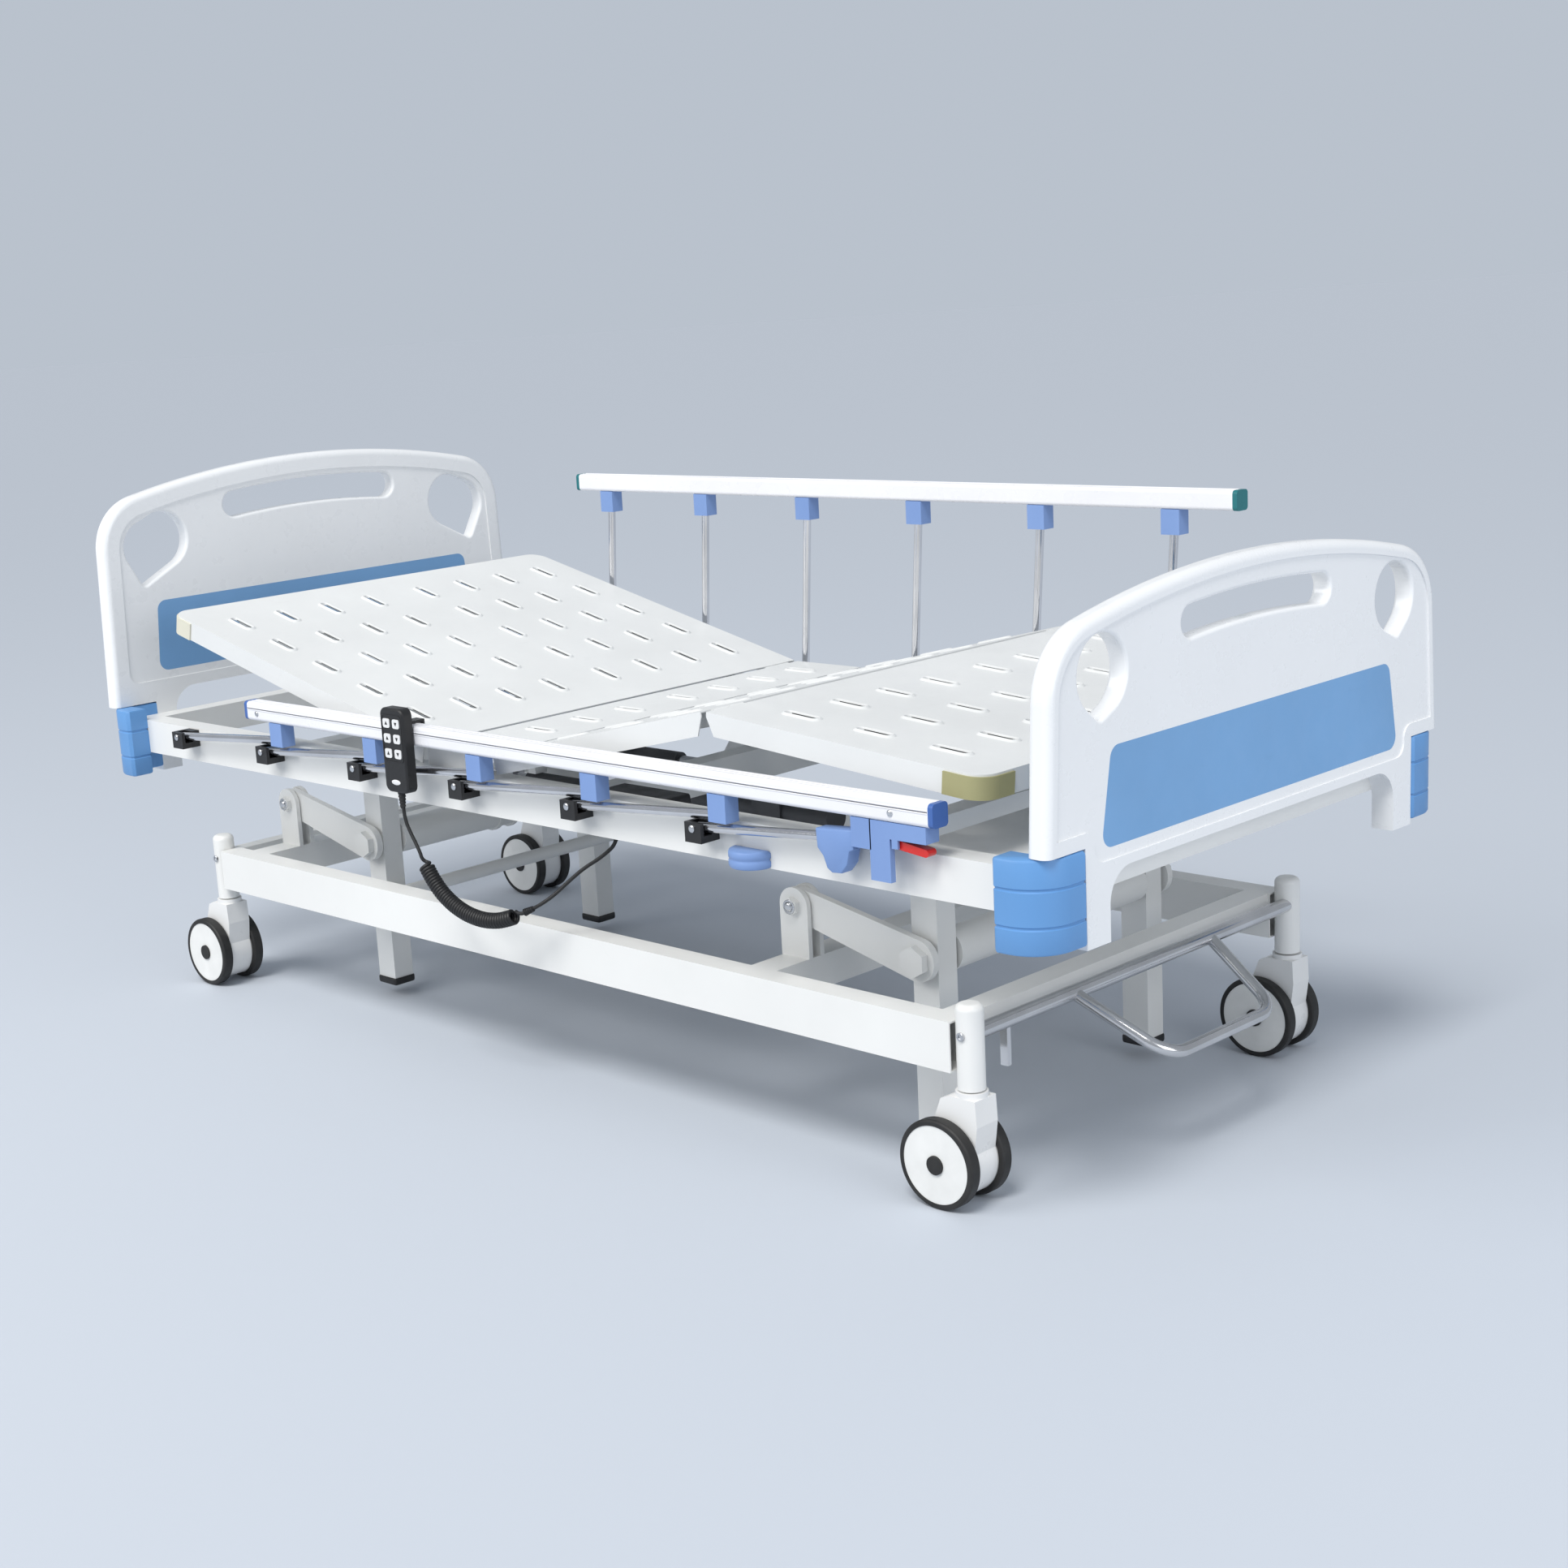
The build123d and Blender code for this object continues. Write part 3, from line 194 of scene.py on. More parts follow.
# ---------------------------------------------------------------- materials
class Nodes:
    """Short names for the shader nodes that the finishes share."""

    def __init__(self, name):
        self.material = bpy.data.materials.new(name)
        self.material.use_nodes = True
        self.tree = self.material.node_tree
        self.shader = self.tree.nodes["Principled BSDF"]
        self.place = self.tree.nodes.new("ShaderNodeTexCoord").outputs["Object"]

    def link(self, output, target):
        self.tree.links.new(output, target)

    def stretched(self, scale):
        mapping = self.tree.nodes.new("ShaderNodeMapping")
        mapping.inputs["Scale"].default_value = scale
        self.link(self.place, mapping.inputs["Vector"])
        return mapping.outputs["Vector"]

    def noise(self, scale, detail=3.0, vector=None):
        node = self.tree.nodes.new("ShaderNodeTexNoise")
        node.inputs["Scale"].default_value = scale
        node.inputs["Detail"].default_value = detail
        self.link(vector or self.place, node.inputs["Vector"])
        return node.outputs["Fac"]

    def spread(self, value, low, high, from_low=0.3, from_high=0.7):
        node = self.tree.nodes.new("ShaderNodeMapRange")
        node.inputs["From Min"].default_value = from_low
        node.inputs["From Max"].default_value = from_high
        node.inputs["To Min"].default_value = low
        node.inputs["To Max"].default_value = high
        self.link(value, node.inputs["Value"])
        return node.outputs["Result"]

    def math(self, operation, a, b=None):
        node = self.tree.nodes.new("ShaderNodeMath")
        node.operation = operation
        for socket, value in zip(node.inputs, (a, b)):
            if isinstance(value, (int, float)):
                socket.default_value = value
            elif value is not None:
                self.link(value, socket)
        return node.outputs[0]

    def mix(self, factor, a, b):
        node = self.tree.nodes.new("ShaderNodeMix")
        node.data_type = "RGBA"
        self.link(factor, node.inputs["Factor"])
        for key, value in (("A", a), ("B", b)):
            socket = [s for s in node.inputs if s.name == key and s.type == "RGBA"][0]
            if isinstance(value, tuple):
                socket.default_value = (*value, 1.0)
            else:
                self.link(value, socket)
        return [s for s in node.outputs if s.type == "RGBA"][0]

    def bump(self, height, distance, strength=1.0):
        node = self.tree.nodes.new("ShaderNodeBump")
        node.inputs["Distance"].default_value = distance
        node.inputs["Strength"].default_value = strength
        self.link(height, node.inputs["Height"])
        self.link(node.outputs["Normal"], self.shader.inputs["Normal"])

    def axes(self):
        node = self.tree.nodes.new("ShaderNodeSeparateXYZ")
        self.link(self.place, node.inputs["Vector"])
        return node.outputs


def shade(colour, factor):
    return tuple(min(1.0, c * factor) for c in colour)


def coated(name, colour, rough=0.38, grain=900.0, depth=0.00006, coat=0.0, mottle=0.05, scuffed=0.35):
    """A sprayed or moulded surface: fine grain, faint mottling and light scuffs."""
    n = Nodes(name)
    cloud = n.spread(n.noise(4.0, 4.0), 0.0, 1.0)
    tint = n.mix(cloud, shade(colour, 1 - mottle), shade(colour, 1 + mottle / 2))
    scuffs = n.spread(n.noise(60.0, 6.0, n.stretched((1.0, 0.25, 1.0))), 0.0, scuffed, 0.66, 0.8)
    n.link(n.mix(scuffs, tint, shade(colour, 0.9)), n.shader.inputs["Base Color"])
    n.link(n.spread(n.noise(35.0, 5.0), rough - 0.07, rough + 0.1), n.shader.inputs["Roughness"])
    n.bump(n.noise(grain, 2.0), depth)
    if coat:
        n.shader.inputs["Coat Weight"].default_value = coat
        n.shader.inputs["Coat Roughness"].default_value = 0.12
    return n.material


def brushed(name, colour, rough, direction, metal=1.0):
    """Bare metal with fine drawing lines along a direction."""
    n = Nodes(name)
    lines = n.noise(500.0, 4.0, n.stretched(direction))
    cloud = n.spread(n.noise(9.0, 4.0), 0.0, 1.0)
    n.link(n.mix(cloud, shade(colour, 0.86), shade(colour, 1.08)), n.shader.inputs["Base Color"])
    n.link(n.spread(lines, rough - 0.05, rough + 0.09), n.shader.inputs["Roughness"])
    n.bump(lines, 0.00003, 0.6)
    n.shader.inputs["Metallic"].default_value = metal
    return n.material


WHITE = (0.80, 0.80, 0.78)
STEEL = coated("white_powder_coat", WHITE, 0.36, 1100.0, 0.00010)
SHEET = coated("platform_coat", (0.74, 0.75, 0.745), 0.40, 1300.0, 0.00012)
MOULDED = coated(
    "white_abs", (0.84, 0.85, 0.86), 0.30, 700.0, 0.00004, coat=0.25, mottle=0.02, scuffed=0.1,
)
HOUSING = coated("white_nylon", (0.80, 0.80, 0.79), 0.34, 800.0, 0.00005, coat=0.1)
PANEL = coated("blue_panel", (0.18, 0.37, 0.64), 0.42, 1500.0, 0.00012, mottle=0.08)
BUMPER = coated("blue_bumper", (0.125, 0.31, 0.62), 0.40, 1200.0, 0.0001, mottle=0.10)
LAVENDER = coated("blue_nylon", (0.19, 0.31, 0.60), 0.40, 1200.0, 0.0001, mottle=0.08)
RED = coated("red_lever", (0.62, 0.012, 0.006), 0.28, 900.0, 0.00004, coat=0.3)
BAR = coated("white_coated_aluminium", (0.83, 0.83, 0.86), 0.30, 1500.0, 0.00005, coat=0.15)
BLACK = coated("black_nylon", (0.012, 0.012, 0.013), 0.42, 1400.0, 0.00015, mottle=0.2)
CABLE = coated("black_pvc", (0.010, 0.010, 0.011), 0.46, 2500.0, 0.0001, mottle=0.2)
KEY = coated("white_key", (0.78, 0.78, 0.78), 0.42, 1500.0, 0.00008)
# painted shade: the beige end caps darkened to an olive tone, as they look in shadow
CAP_PAINTED_SHADE = coated("beige_cap", (0.36, 0.34, 0.17), 0.45, 1000.0, 0.0001, mottle=0.1)
PALE_CAP = coated("pale_cap", (0.72, 0.70, 0.58), 0.45, 1000.0, 0.0001, mottle=0.08)
MOTOR = coated("dark_grey_motor", (0.045, 0.046, 0.05), 0.48, 1000.0, 0.0002, mottle=0.15)
CHROME_UP = brushed("chrome_post", (0.72, 0.72, 0.74), 0.12, (1.0, 1.0, 0.05))
CHROME_BAR = brushed("chrome_bar", (0.66, 0.66, 0.67), 0.16, (1.0, 0.05, 1.0))
DRAWN = brushed("drawn_steel", (0.60, 0.60, 0.62), 0.2, (0.05, 1.0, 1.0))
ZINC = brushed("zinc_bolt", (0.62, 0.63, 0.65), 0.28, (1.0, 1.0, 1.0))


def wheel_material(name, x, z):
    """Black tyre and hub cap round a pale disc, told apart by the distance from the axle."""
    tyre_inner, cap_outer = 54.4 * MM, 13.2 * MM
    n = Nodes(name)
    axes = n.axes()
    across = n.math("SUBTRACT", axes["X"], x)
    above = n.math("SUBTRACT", axes["Z"], z)
    squares = n.math("ADD", n.math("MULTIPLY", across, across), n.math("MULTIPLY", above, above))
    radius = n.math("SQRT", squares)
    tyre = n.math("GREATER_THAN", radius, tyre_inner)
    dark = n.math("MAXIMUM", tyre, n.math("LESS_THAN", radius, cap_outer))
    dust = n.spread(n.noise(25.0, 5.0), 0.0, 1.0)
    rubber = n.mix(dust, (0.008, 0.008, 0.008), (0.022, 0.021, 0.020))
    disc = n.mix(dust, (0.74, 0.74, 0.72), (0.82, 0.82, 0.80))
    n.link(n.mix(dark, disc, rubber), n.shader.inputs["Base Color"])
    gloss = n.spread(n.noise(40.0, 4.0), 0.28, 0.38)
    n.link(n.math("ADD", gloss, n.math("MULTIPLY", dark, 0.25)), n.shader.inputs["Roughness"])
    n.bump(n.noise(1400.0, 2.0), 0.00008)
    return n.material


def fitting_material(name, x_low, x_high, cap_colour):
    """Lavender nylon, with the two end caps of the bar in their own colour."""
    n = Nodes(name)
    along = n.axes()["X"]
    cap = n.math("MAXIMUM", n.math("LESS_THAN", along, x_low), n.math("GREATER_THAN", along, x_high))
    cloud = n.spread(n.noise(6.0, 4.0), 0.0, 1.0)
    body = n.mix(cloud, (0.18, 0.29, 0.57), (0.21, 0.33, 0.62))
    n.link(n.mix(cap, body, cap_colour), n.shader.inputs["Base Color"])
    n.link(n.spread(n.noise(40.0, 4.0), 0.33, 0.48), n.shader.inputs["Roughness"])
    n.bump(n.noise(1200.0, 2.0), 0.0001)
    return n.material


def paint(node, material):
    """Give a CAD node one material."""
    slots = NODES[node].data.materials
    slots.clear()
    slots.append(material)


for node in ("base_frame", "head_lift_arm", "foot_lift_arm", "lift_link", "bed_frame"):
    paint(node, STEEL)
for node in ("back_section", "seat_section", "thigh_section", "leg_section"):
    paint(node, SHEET)
for node in ("headboard", "footboard"):
    paint(node, MOULDED)
paint("board_panels", PANEL)
paint("corner_bumpers", BUMPER)
paint("brake_pedal", CHROME_BAR)
paint("rail_brackets", BLACK)
paint("handset_case", BLACK)
paint("control_box", BLACK)
paint("back_end_caps", PALE_CAP)
# the leg-end caps get the beige cap colour with painted shade
paint("leg_end_caps", CAP_PAINTED_SHADE)
for number in range(1, 7):
    paint(f"handset_key_{number}", KEY)
    paint(f"near_rail_post_{number}", CHROME_UP)
    paint(f"far_rail_post_{number}", CHROME_UP)
for drive in ("back", "knee", "lift"):
    paint(f"{drive}_actuator", MOTOR)
    paint(f"{drive}_actuator_rod", DRAWN)
for rail, cap_colour in (("near", (0.05, 0.13, 0.40)), ("far", (0.01, 0.16, 0.18))):
    paint(f"{rail}_rail_bar", BAR)
    paint(f"{rail}_rail_release", RED)
    low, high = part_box(f"{rail}_rail_bar")
    paint(f"{rail}_rail_fittings", fitting_material(f"{rail}_fitting_nylon", low.x, high.x, cap_colour))
CASTORS = ("head_right", "head_left", "foot_right", "foot_left")
for place in CASTORS:
    paint(f"castor_housing_{place}", HOUSING)
    low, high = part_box(f"castor_wheels_{place}")
    centre = (low + high) / 2
    paint(f"castor_wheels_{place}", wheel_material(f"wheel_{place}", centre.x, centre.z))

# ---------------------------------------------------------------- handset cable
CABLE_DIAMETER = 6.0
COIL_MEAN_RADIUS = 10.0
COIL_TURNS = 42
POINTS_A_TURN = 14
LEAD_FROM_HANDSET = [
    (-170, -490, 465), (-170, -490, 440), (-166, -490, 414), (-149, -489, 388.5), (-137, -489, 370),
]
COIL_LINE = [
    (-137, -489, 370), (-113, -489, 333), (-83, -488, 305), (-41, -486, 286), (5, -481, 279),
    (48, -473, 286), (84, -463, 303),
]
LEAD_TO_BOX = [
    (84, -463, 303), (102, -458, 311.5), (122, -441, 328), (138, -424, 348), (158, -408, 369),
    (182, -391, 386), (200, -372, 408), (200, -372, 434),
]


def spline_curve(name, points, resolution, bevel=0.0):
    """A curve object with one smooth open spline through millimetre control points."""
    data = bpy.data.curves.new(name, "CURVE")
    data.dimensions = "3D"
    data.resolution_u = resolution
    data.bevel_depth = bevel * MM
    data.bevel_resolution = 3
    data.use_fill_caps = bevel > 0
    spline = data.splines.new("NURBS")
    spline.points.add(len(points) - 1)
    for control, point in zip(spline.points, points):
        control.co = (*(c * MM for c in point), 1.0)
    spline.order_u = 3
    spline.use_endpoint_u = True
    return bpy.data.objects.new(name, data)


def curve_line(points, resolution):
    """Points along the smooth spline of a route, in millimetres."""
    curve = spline_curve("route", points, resolution)
    mesh = bpy.data.meshes.new_from_object(curve)
    line = [v.co / MM for v in mesh.vertices]
    bpy.data.meshes.remove(mesh)
    bpy.data.objects.remove(curve)
    return line


def curly_points():
    """Control points of the lead out of the handset and the helix after it."""
    line = curve_line(LEAD_FROM_HANDSET + COIL_LINE[1:], 24)
    corner = Vector(COIL_LINE[0])
    first = min(range(len(line)), key=lambda i: (line[i] - corner).length)
    stretch = line[first:]
    lengths = [0.0]
    for a, b in zip(stretch, stretch[1:]):
        lengths.append(lengths[-1] + (b - a).length)
    total = COIL_TURNS * POINTS_A_TURN
    ramp = POINTS_A_TURN
    widths = [sin(pi / 2 * min(1.0, k / ramp, (total - k) / ramp)) for k in range(total + 1)]
    reaches = [0.0]
    for width in widths[1:]:
        reaches.append(reaches[-1] + 1 + 12 * (1 - width))
    points = [tuple(p) for p in LEAD_FROM_HANDSET[:-1]]
    normal = (stretch[1] - stretch[0]).orthogonal().normalized()
    index = 0
    for k, width in enumerate(widths):
        reach = lengths[-1] * reaches[k] / reaches[-1]
        while index < len(lengths) - 2 and lengths[index + 1] < reach:
            index += 1
        step = stretch[index + 1] - stretch[index]
        share = (reach - lengths[index]) / (lengths[index + 1] - lengths[index])
        middle = stretch[index] + step * share
        tangent = step.normalized()
        normal = (normal - tangent * normal.dot(tangent)).normalized()
        other = tangent.cross(normal)
        angle = 2 * pi * k / POINTS_A_TURN
        spoke = cos(angle) * normal + sin(angle) * other
        points.append(tuple(middle + spoke * COIL_MEAN_RADIUS * width))
    return points


def cable_piece(name, points, resolution):
    """A cable's mesh tube on its spline, with the line that it follows."""
    curve = spline_curve(name + "_curve", points, resolution, CABLE_DIAMETER / 2)
    mesh = bpy.data.meshes.new_from_object(curve)
    bpy.data.objects.remove(curve)
    mesh.name = name
    mesh.materials.clear()
    mesh.materials.append(CABLE)
    for polygon in mesh.polygons:
        polygon.use_smooth = True
    piece = bpy.data.objects.new(name, mesh)
    bpy.context.scene.collection.objects.link(piece)
    return piece, curve_line(points, resolution)


def line_length(line):
    """Length in metres of a line given in millimetres."""
    return sum((b - a).length for a, b in zip(line, line[1:])) * MM


def metres(point):
    return tuple(c * MM for c in point)


def boot(name, start, direction, length, wide, narrow, body):
    """Tapered, ribbed strain relief round the cable."""
    shape = Shape()
    ribs = 5
    profile = [(0, CABLE_DIAMETER / 2), (0, wide)]
    for k in range(ribs):
        a = length * (k + 0.15) / ribs
        b = length * (k + 0.55) / ribs
        ra = wide + (narrow - wide) * a / length
        profile += [(a, ra), (b, ra), (b + 0.4, ra - 1.0), (length * (k + 1) / ribs - 0.2, ra - 1.0)]
    profile += [(length, narrow - 0.6), (length, CABLE_DIAMETER / 2)]
    shape.lathe(start, direction, profile)
    return shape.piece(name, CABLE, "black_cable", body)


handset_cable, curly_line = cable_piece("handset_cable", curly_points(), 2)
box_cable, box_line = cable_piece("box_cable", LEAD_TO_BOX, 12)
boot("handset_cable_boot", (-170, -490, 465), (0, 0, -1), 26, 6.5, 4.4, "near_rail_top")
boot("box_cable_boot", (200, -372, 434), (0, 0, -1), 20, 6.5, 4.4, "bed_frame")
joint_boot = boot("coil_end_boot", (80, -464.1, 301.1), (36, 10, 17), 18, 6.0, 4.2, "near_rail_post_5")
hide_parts("handset_cord_lead", "handset_cord_coil")
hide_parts("handset_cord_box_lead")
metres(LEAD_FROM_HANDSET[0])
round(line_length(curly_line), 3)
[metres(p) for p in curly_line]
metres(LEAD_TO_BOX[-1])
round(line_length(box_line), 3)
[metres(p) for p in box_line]
metres(COIL_LINE[-1])
metres(LEAD_FROM_HANDSET[1])
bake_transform(handset_cable)
metres(LEAD_TO_BOX[-2])
metres(LEAD_TO_BOX[1])
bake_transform(box_cable)

# ---------------------------------------------------------------- platform slots
SEAT_TOP = 530.0
HINGE_Z = 523.0
THIGH_HINGE_X, THIGH_LENGTH, THIGH_ANGLE = -15.0, 486.0, 13.1
BACK_HINGE_X, BACK_LENGTH, BACK_ANGLE = -178.0, 730.0, 13.4
LEG_LENGTH, LEG_ANGLE = 490.0, -4.6
KNEE = (
    THIGH_HINGE_X + THIGH_LENGTH * cos(radians(THIGH_ANGLE)),
    HINGE_Z + THIGH_LENGTH * sin(radians(THIGH_ANGLE)),
)
SEAM = 5.0
SLOT_LENGTH, SLOT_WIDTH = 58.0, 11.0
SLOT_MARGIN = 45.0
SLOT_PITCH_Y, SLOT_MID_SHIFT = 98, 12


def tilted(x, z, angle):
    """Turn an offset from a hinge; a positive angle lifts the foot side."""
    a = radians(angle)
    return x * cos(a) - z * sin(a), x * sin(a) + z * cos(a)


# section: start, end, slot rows, hinge drawn flat, hinge as it stands, tilt
SECTIONS = {
    "back_section": (
        BACK_HINGE_X - BACK_LENGTH, BACK_HINGE_X - SEAM, 5,
        BACK_HINGE_X, (BACK_HINGE_X, HINGE_Z), -BACK_ANGLE,
    ),
    "seat_section": (BACK_HINGE_X + SEAM, THIGH_HINGE_X - SEAM, 1, 0.0, (0.0, HINGE_Z), 0.0),
    "thigh_section": (
        THIGH_HINGE_X + SEAM, THIGH_HINGE_X + THIGH_LENGTH - SEAM, 3,
        THIGH_HINGE_X, (THIGH_HINGE_X, HINGE_Z), THIGH_ANGLE,
    ),
    "leg_section": (
        THIGH_HINGE_X + THIGH_LENGTH + SEAM, THIGH_HINGE_X + THIGH_LENGTH + LEG_LENGTH, 3,
        THIGH_HINGE_X + THIGH_LENGTH, KNEE, LEG_ANGLE,
    ),
}


def slot_places(x0, x1, rows, columns=8):
    """Middles of the air slots, as the sheets are punched."""
    pitch = (x1 - x0) / rows
    for row in range(rows):
        for column in range(columns):
            shift = SLOT_MID_SHIFT if column >= columns / 2 else -SLOT_MID_SHIFT
            yield x0 + (row + 0.5) * pitch, (column - (columns - 1) / 2) * SLOT_PITCH_Y + shift


def slot_rims(name, body):
    """The pressed lip that stands round every slot of one section."""
    x0, x1, rows, flat_x, hinge, tilt = SECTIONS[name]
    profile = ((0.0, -1.5), (0.0, 1.2), (0.9, 2.6), (2.6, 2.9), (4.6, 1.4), (6.4, -0.1))
    shape = Shape()
    for slot_x, slot_y in slot_places(x0 + SLOT_MARGIN, x1 - SLOT_MARGIN, rows):
        rings = []
        for out, lift in profile:
            radius = SLOT_WIDTH / 2 + out
            straight = (SLOT_LENGTH - SLOT_WIDTH) / 2
            outline = arc((straight, 0), radius, -90, 90, 8) + arc((-straight, 0), radius, 90, 270, 8)
            ring = []
            for u, v in outline:
                x, z = tilted(slot_x + u - flat_x, SEAT_TOP + lift - HINGE_Z, tilt)
                ring.append((hinge[0] + x, slot_y + v, hinge[1] + z))
            rings.append(ring)
        shape.grid(rings)
    return shape.piece(f"{name}_slot_lips", SHEET, "white_steel", body)


for section in SECTIONS:
    slot_rims(section, "bed_frame" if section == "seat_section" else section)

# ---------------------------------------------------------------- corner bumpers
BUMPER_BOTTOM, BUMPER_TOP = 395.0, 517.0
BEAM_OUTER = 440.0
BUMPER_INNER = 391.0
BOARD_INNER_X = 1038.0
HALF_LENGTH, HALF_WIDTH = 1075.0, 480.0
BUMPER_CORNER = 58.0


def groove_levels(bottom, top, grooves, deep=1.6):
    """Heights and insets of a moulding with soft ends and shallow grooves round it."""
    levels = [(bottom, 4.0), (bottom + 1.2, 1.4), (bottom + 4, 0.0)]
    for z in grooves:
        levels += [(z - 2.6, 0.0), (z - 1.2, deep), (z + 1.2, deep), (z + 2.6, 0.0)]
    return levels + [(top - 4, 0.0), (top - 1.2, 1.4), (top, 4.0)]


def bumpers():
    """Corner bumpers with their grooves, and the half-round ones on the beams."""
    outline = [(995, BEAM_OUTER), (BOARD_INNER_X, BEAM_OUTER), (BOARD_INNER_X, BUMPER_INNER)]
    outline += [(HALF_LENGTH - 5, BUMPER_INNER), (HALF_LENGTH, BUMPER_INNER + 5)]
    centre = (HALF_LENGTH - BUMPER_CORNER, HALF_WIDTH - BUMPER_CORNER)
    outline += arc(centre, BUMPER_CORNER, 0, 90, 14)
    outline += [(1000, HALF_WIDTH), (995, HALF_WIDTH - 5)]
    levels = groove_levels(BUMPER_BOTTOM, BUMPER_TOP, (430, 478))
    knob = arc((550, BEAM_OUTER), 34, 0, 180, 16)
    knob_levels = groove_levels(435, 461, (448,), 1.0)
    for end in (1, -1):
        for side in (1, -1):
            shape = Shape()
            shape.prism(outline, lambda u, v, d: (end * u, side * v, d), levels)
            place = ("foot" if end > 0 else "head") + ("_left" if side > 0 else "_right")
            piece = shape.piece(f"corner_bumper_{place}", BUMPER, "blue_bumper", "bed_frame")
            if end > 0 and side > 0:
                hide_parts("corner_bumpers")
    for side in (1, -1):
        shape = Shape()
        shape.prism(knob, lambda u, v, d: (u, side * v, d), knob_levels)
        place = "left" if side > 0 else "right"
        shape.piece(f"beam_bumper_{place}", LAVENDER, "blue_fitting", "bed_frame")


bumpers()

# ---------------------------------------------------------------- feet and fasteners
RAIL_FIRST = {"near": -840, "far": -709}
RAIL_SIDE = {"near": -1, "far": 1}
RAIL_PITCH, RAIL_POSTS = 262, 6
RAIL_PIVOT_Z, BRACKET_FACE = 484, 475.9
BASE_POST_X, BASE_SCREW_Y, BASE_SCREW_Z = 874, 401, 241
STAND_FACE = 25               # out from the lever's middle
ARM_LENGTH, ARM_ANGLE = 226.0, -12.3
HEAD_PIVOT, FOOT_PIVOT = (-784.0, 334.0), (482.0, 334.0)
LEVER_Y, LEG_Y, LEG_BOTTOM = 279.0, 246.0, 28.0
HEAD_TIP, FOOT_TIP = (
    (x + ARM_LENGTH * cos(radians(ARM_ANGLE)), z + ARM_LENGTH * sin(radians(ARM_ANGLE)))
    for x, z in (HEAD_PIVOT, FOOT_PIVOT)
)


def leg_feet():
    """Black caps on the lower ends of the four lift legs."""
    shape = Shape()
    outline = rounded(52, 46, 6)
    for x, _ in (HEAD_TIP, FOOT_TIP):
        for side in (1, -1):
            levels = ((0, 3.5), (1.2, 1.0), (4, 0.0), (11, 0.0), (13, 1.2))
            shape.prism(outline, lambda u, v, d: (x + u, side * LEG_Y + v, LEG_BOTTOM - 6 + d), levels)
    shape.piece("leg_feet", BLACK, "black_plastic", "bed_frame")


def domed_bolt(shape, x, y, z, side, radius=7.0):
    """A washer and a domed head on a face that looks along y."""
    profile = [(-0.2, radius + 3), (1.0, radius + 3), (1.3, radius + 2.6), (1.3, radius)]
    profile += [(2.4, radius * 0.98), (3.6, radius * 0.85), (4.6, radius * 0.6), (5.1, radius * 0.25)]
    shape.lathe((x, y, z), (0, side, 0), profile)


def flat_head(shape, x, y, z, side, radius):
    """A low rivet head on a face that looks along y."""
    profile = [(-0.2, radius), (1.6, radius), (2.4, radius * 0.85)]
    profile += [(3.0, radius * 0.5), (3.2, radius * 0.15)]
    shape.lathe((x, y, z), (0, side, 0), profile, 18)


def socket_screw(shape, x, y, z, side, radius=5.0):
    """A cheese head with a hexagon socket, on a face that looks along y."""
    profile = [(-0.2, radius), (2.6, radius), (3.0, radius - 0.4)]
    profile += [(3.0, radius * 0.55), (1.2, radius * 0.5)]
    shape.lathe((x, y, z), (0, side, 0), profile, 18)


def fasteners():
    """Bolt heads on the base, the legs and the rails' brackets and sockets."""
    base = Shape()
    for x in (-BASE_POST_X, BASE_POST_X):
        for side in (1, -1):
            socket_screw(base, x, side * BASE_SCREW_Y, BASE_SCREW_Z, side, 6.0)
    base.piece("base_post_screws", ZINC, "drive_rod_steel", "base")
    for name, (x, z) in (("head", HEAD_PIVOT), ("foot", FOOT_PIVOT)):
        arm = Shape()
        for side in (1, -1):
            domed_bolt(arm, x, side * (LEVER_Y + STAND_FACE), z, side, 8.0)
        arm.piece(f"{name}_stand_bolts", ZINC, "drive_rod_steel", "base")
    pins = Shape()
    for rail, side in RAIL_SIDE.items():
        for index in range(RAIL_POSTS):
            x = RAIL_FIRST[rail] + RAIL_PITCH * index
            flat_head(pins, x, side * BRACKET_FACE, RAIL_PIVOT_Z, side, 5.5)
    pins.piece("bracket_pin_heads", ZINC, "drive_rod_steel", "bed_frame")


leg_feet()
fasteners()

# ---------------------------------------------------------------- rail trim
RAIL_Y, BAR_WIDTH = 462.0, 30.0
FOLDED_SLOPE = 4.23           # degrees that the folded posts rise
# painted shade: a dark grey finish for the strip that stands in for shadow in the bars' groove
GROOVE_DARK = coated("groove_shadow", (0.16, 0.16, 0.18), 0.5, 1500.0, 0.00005)


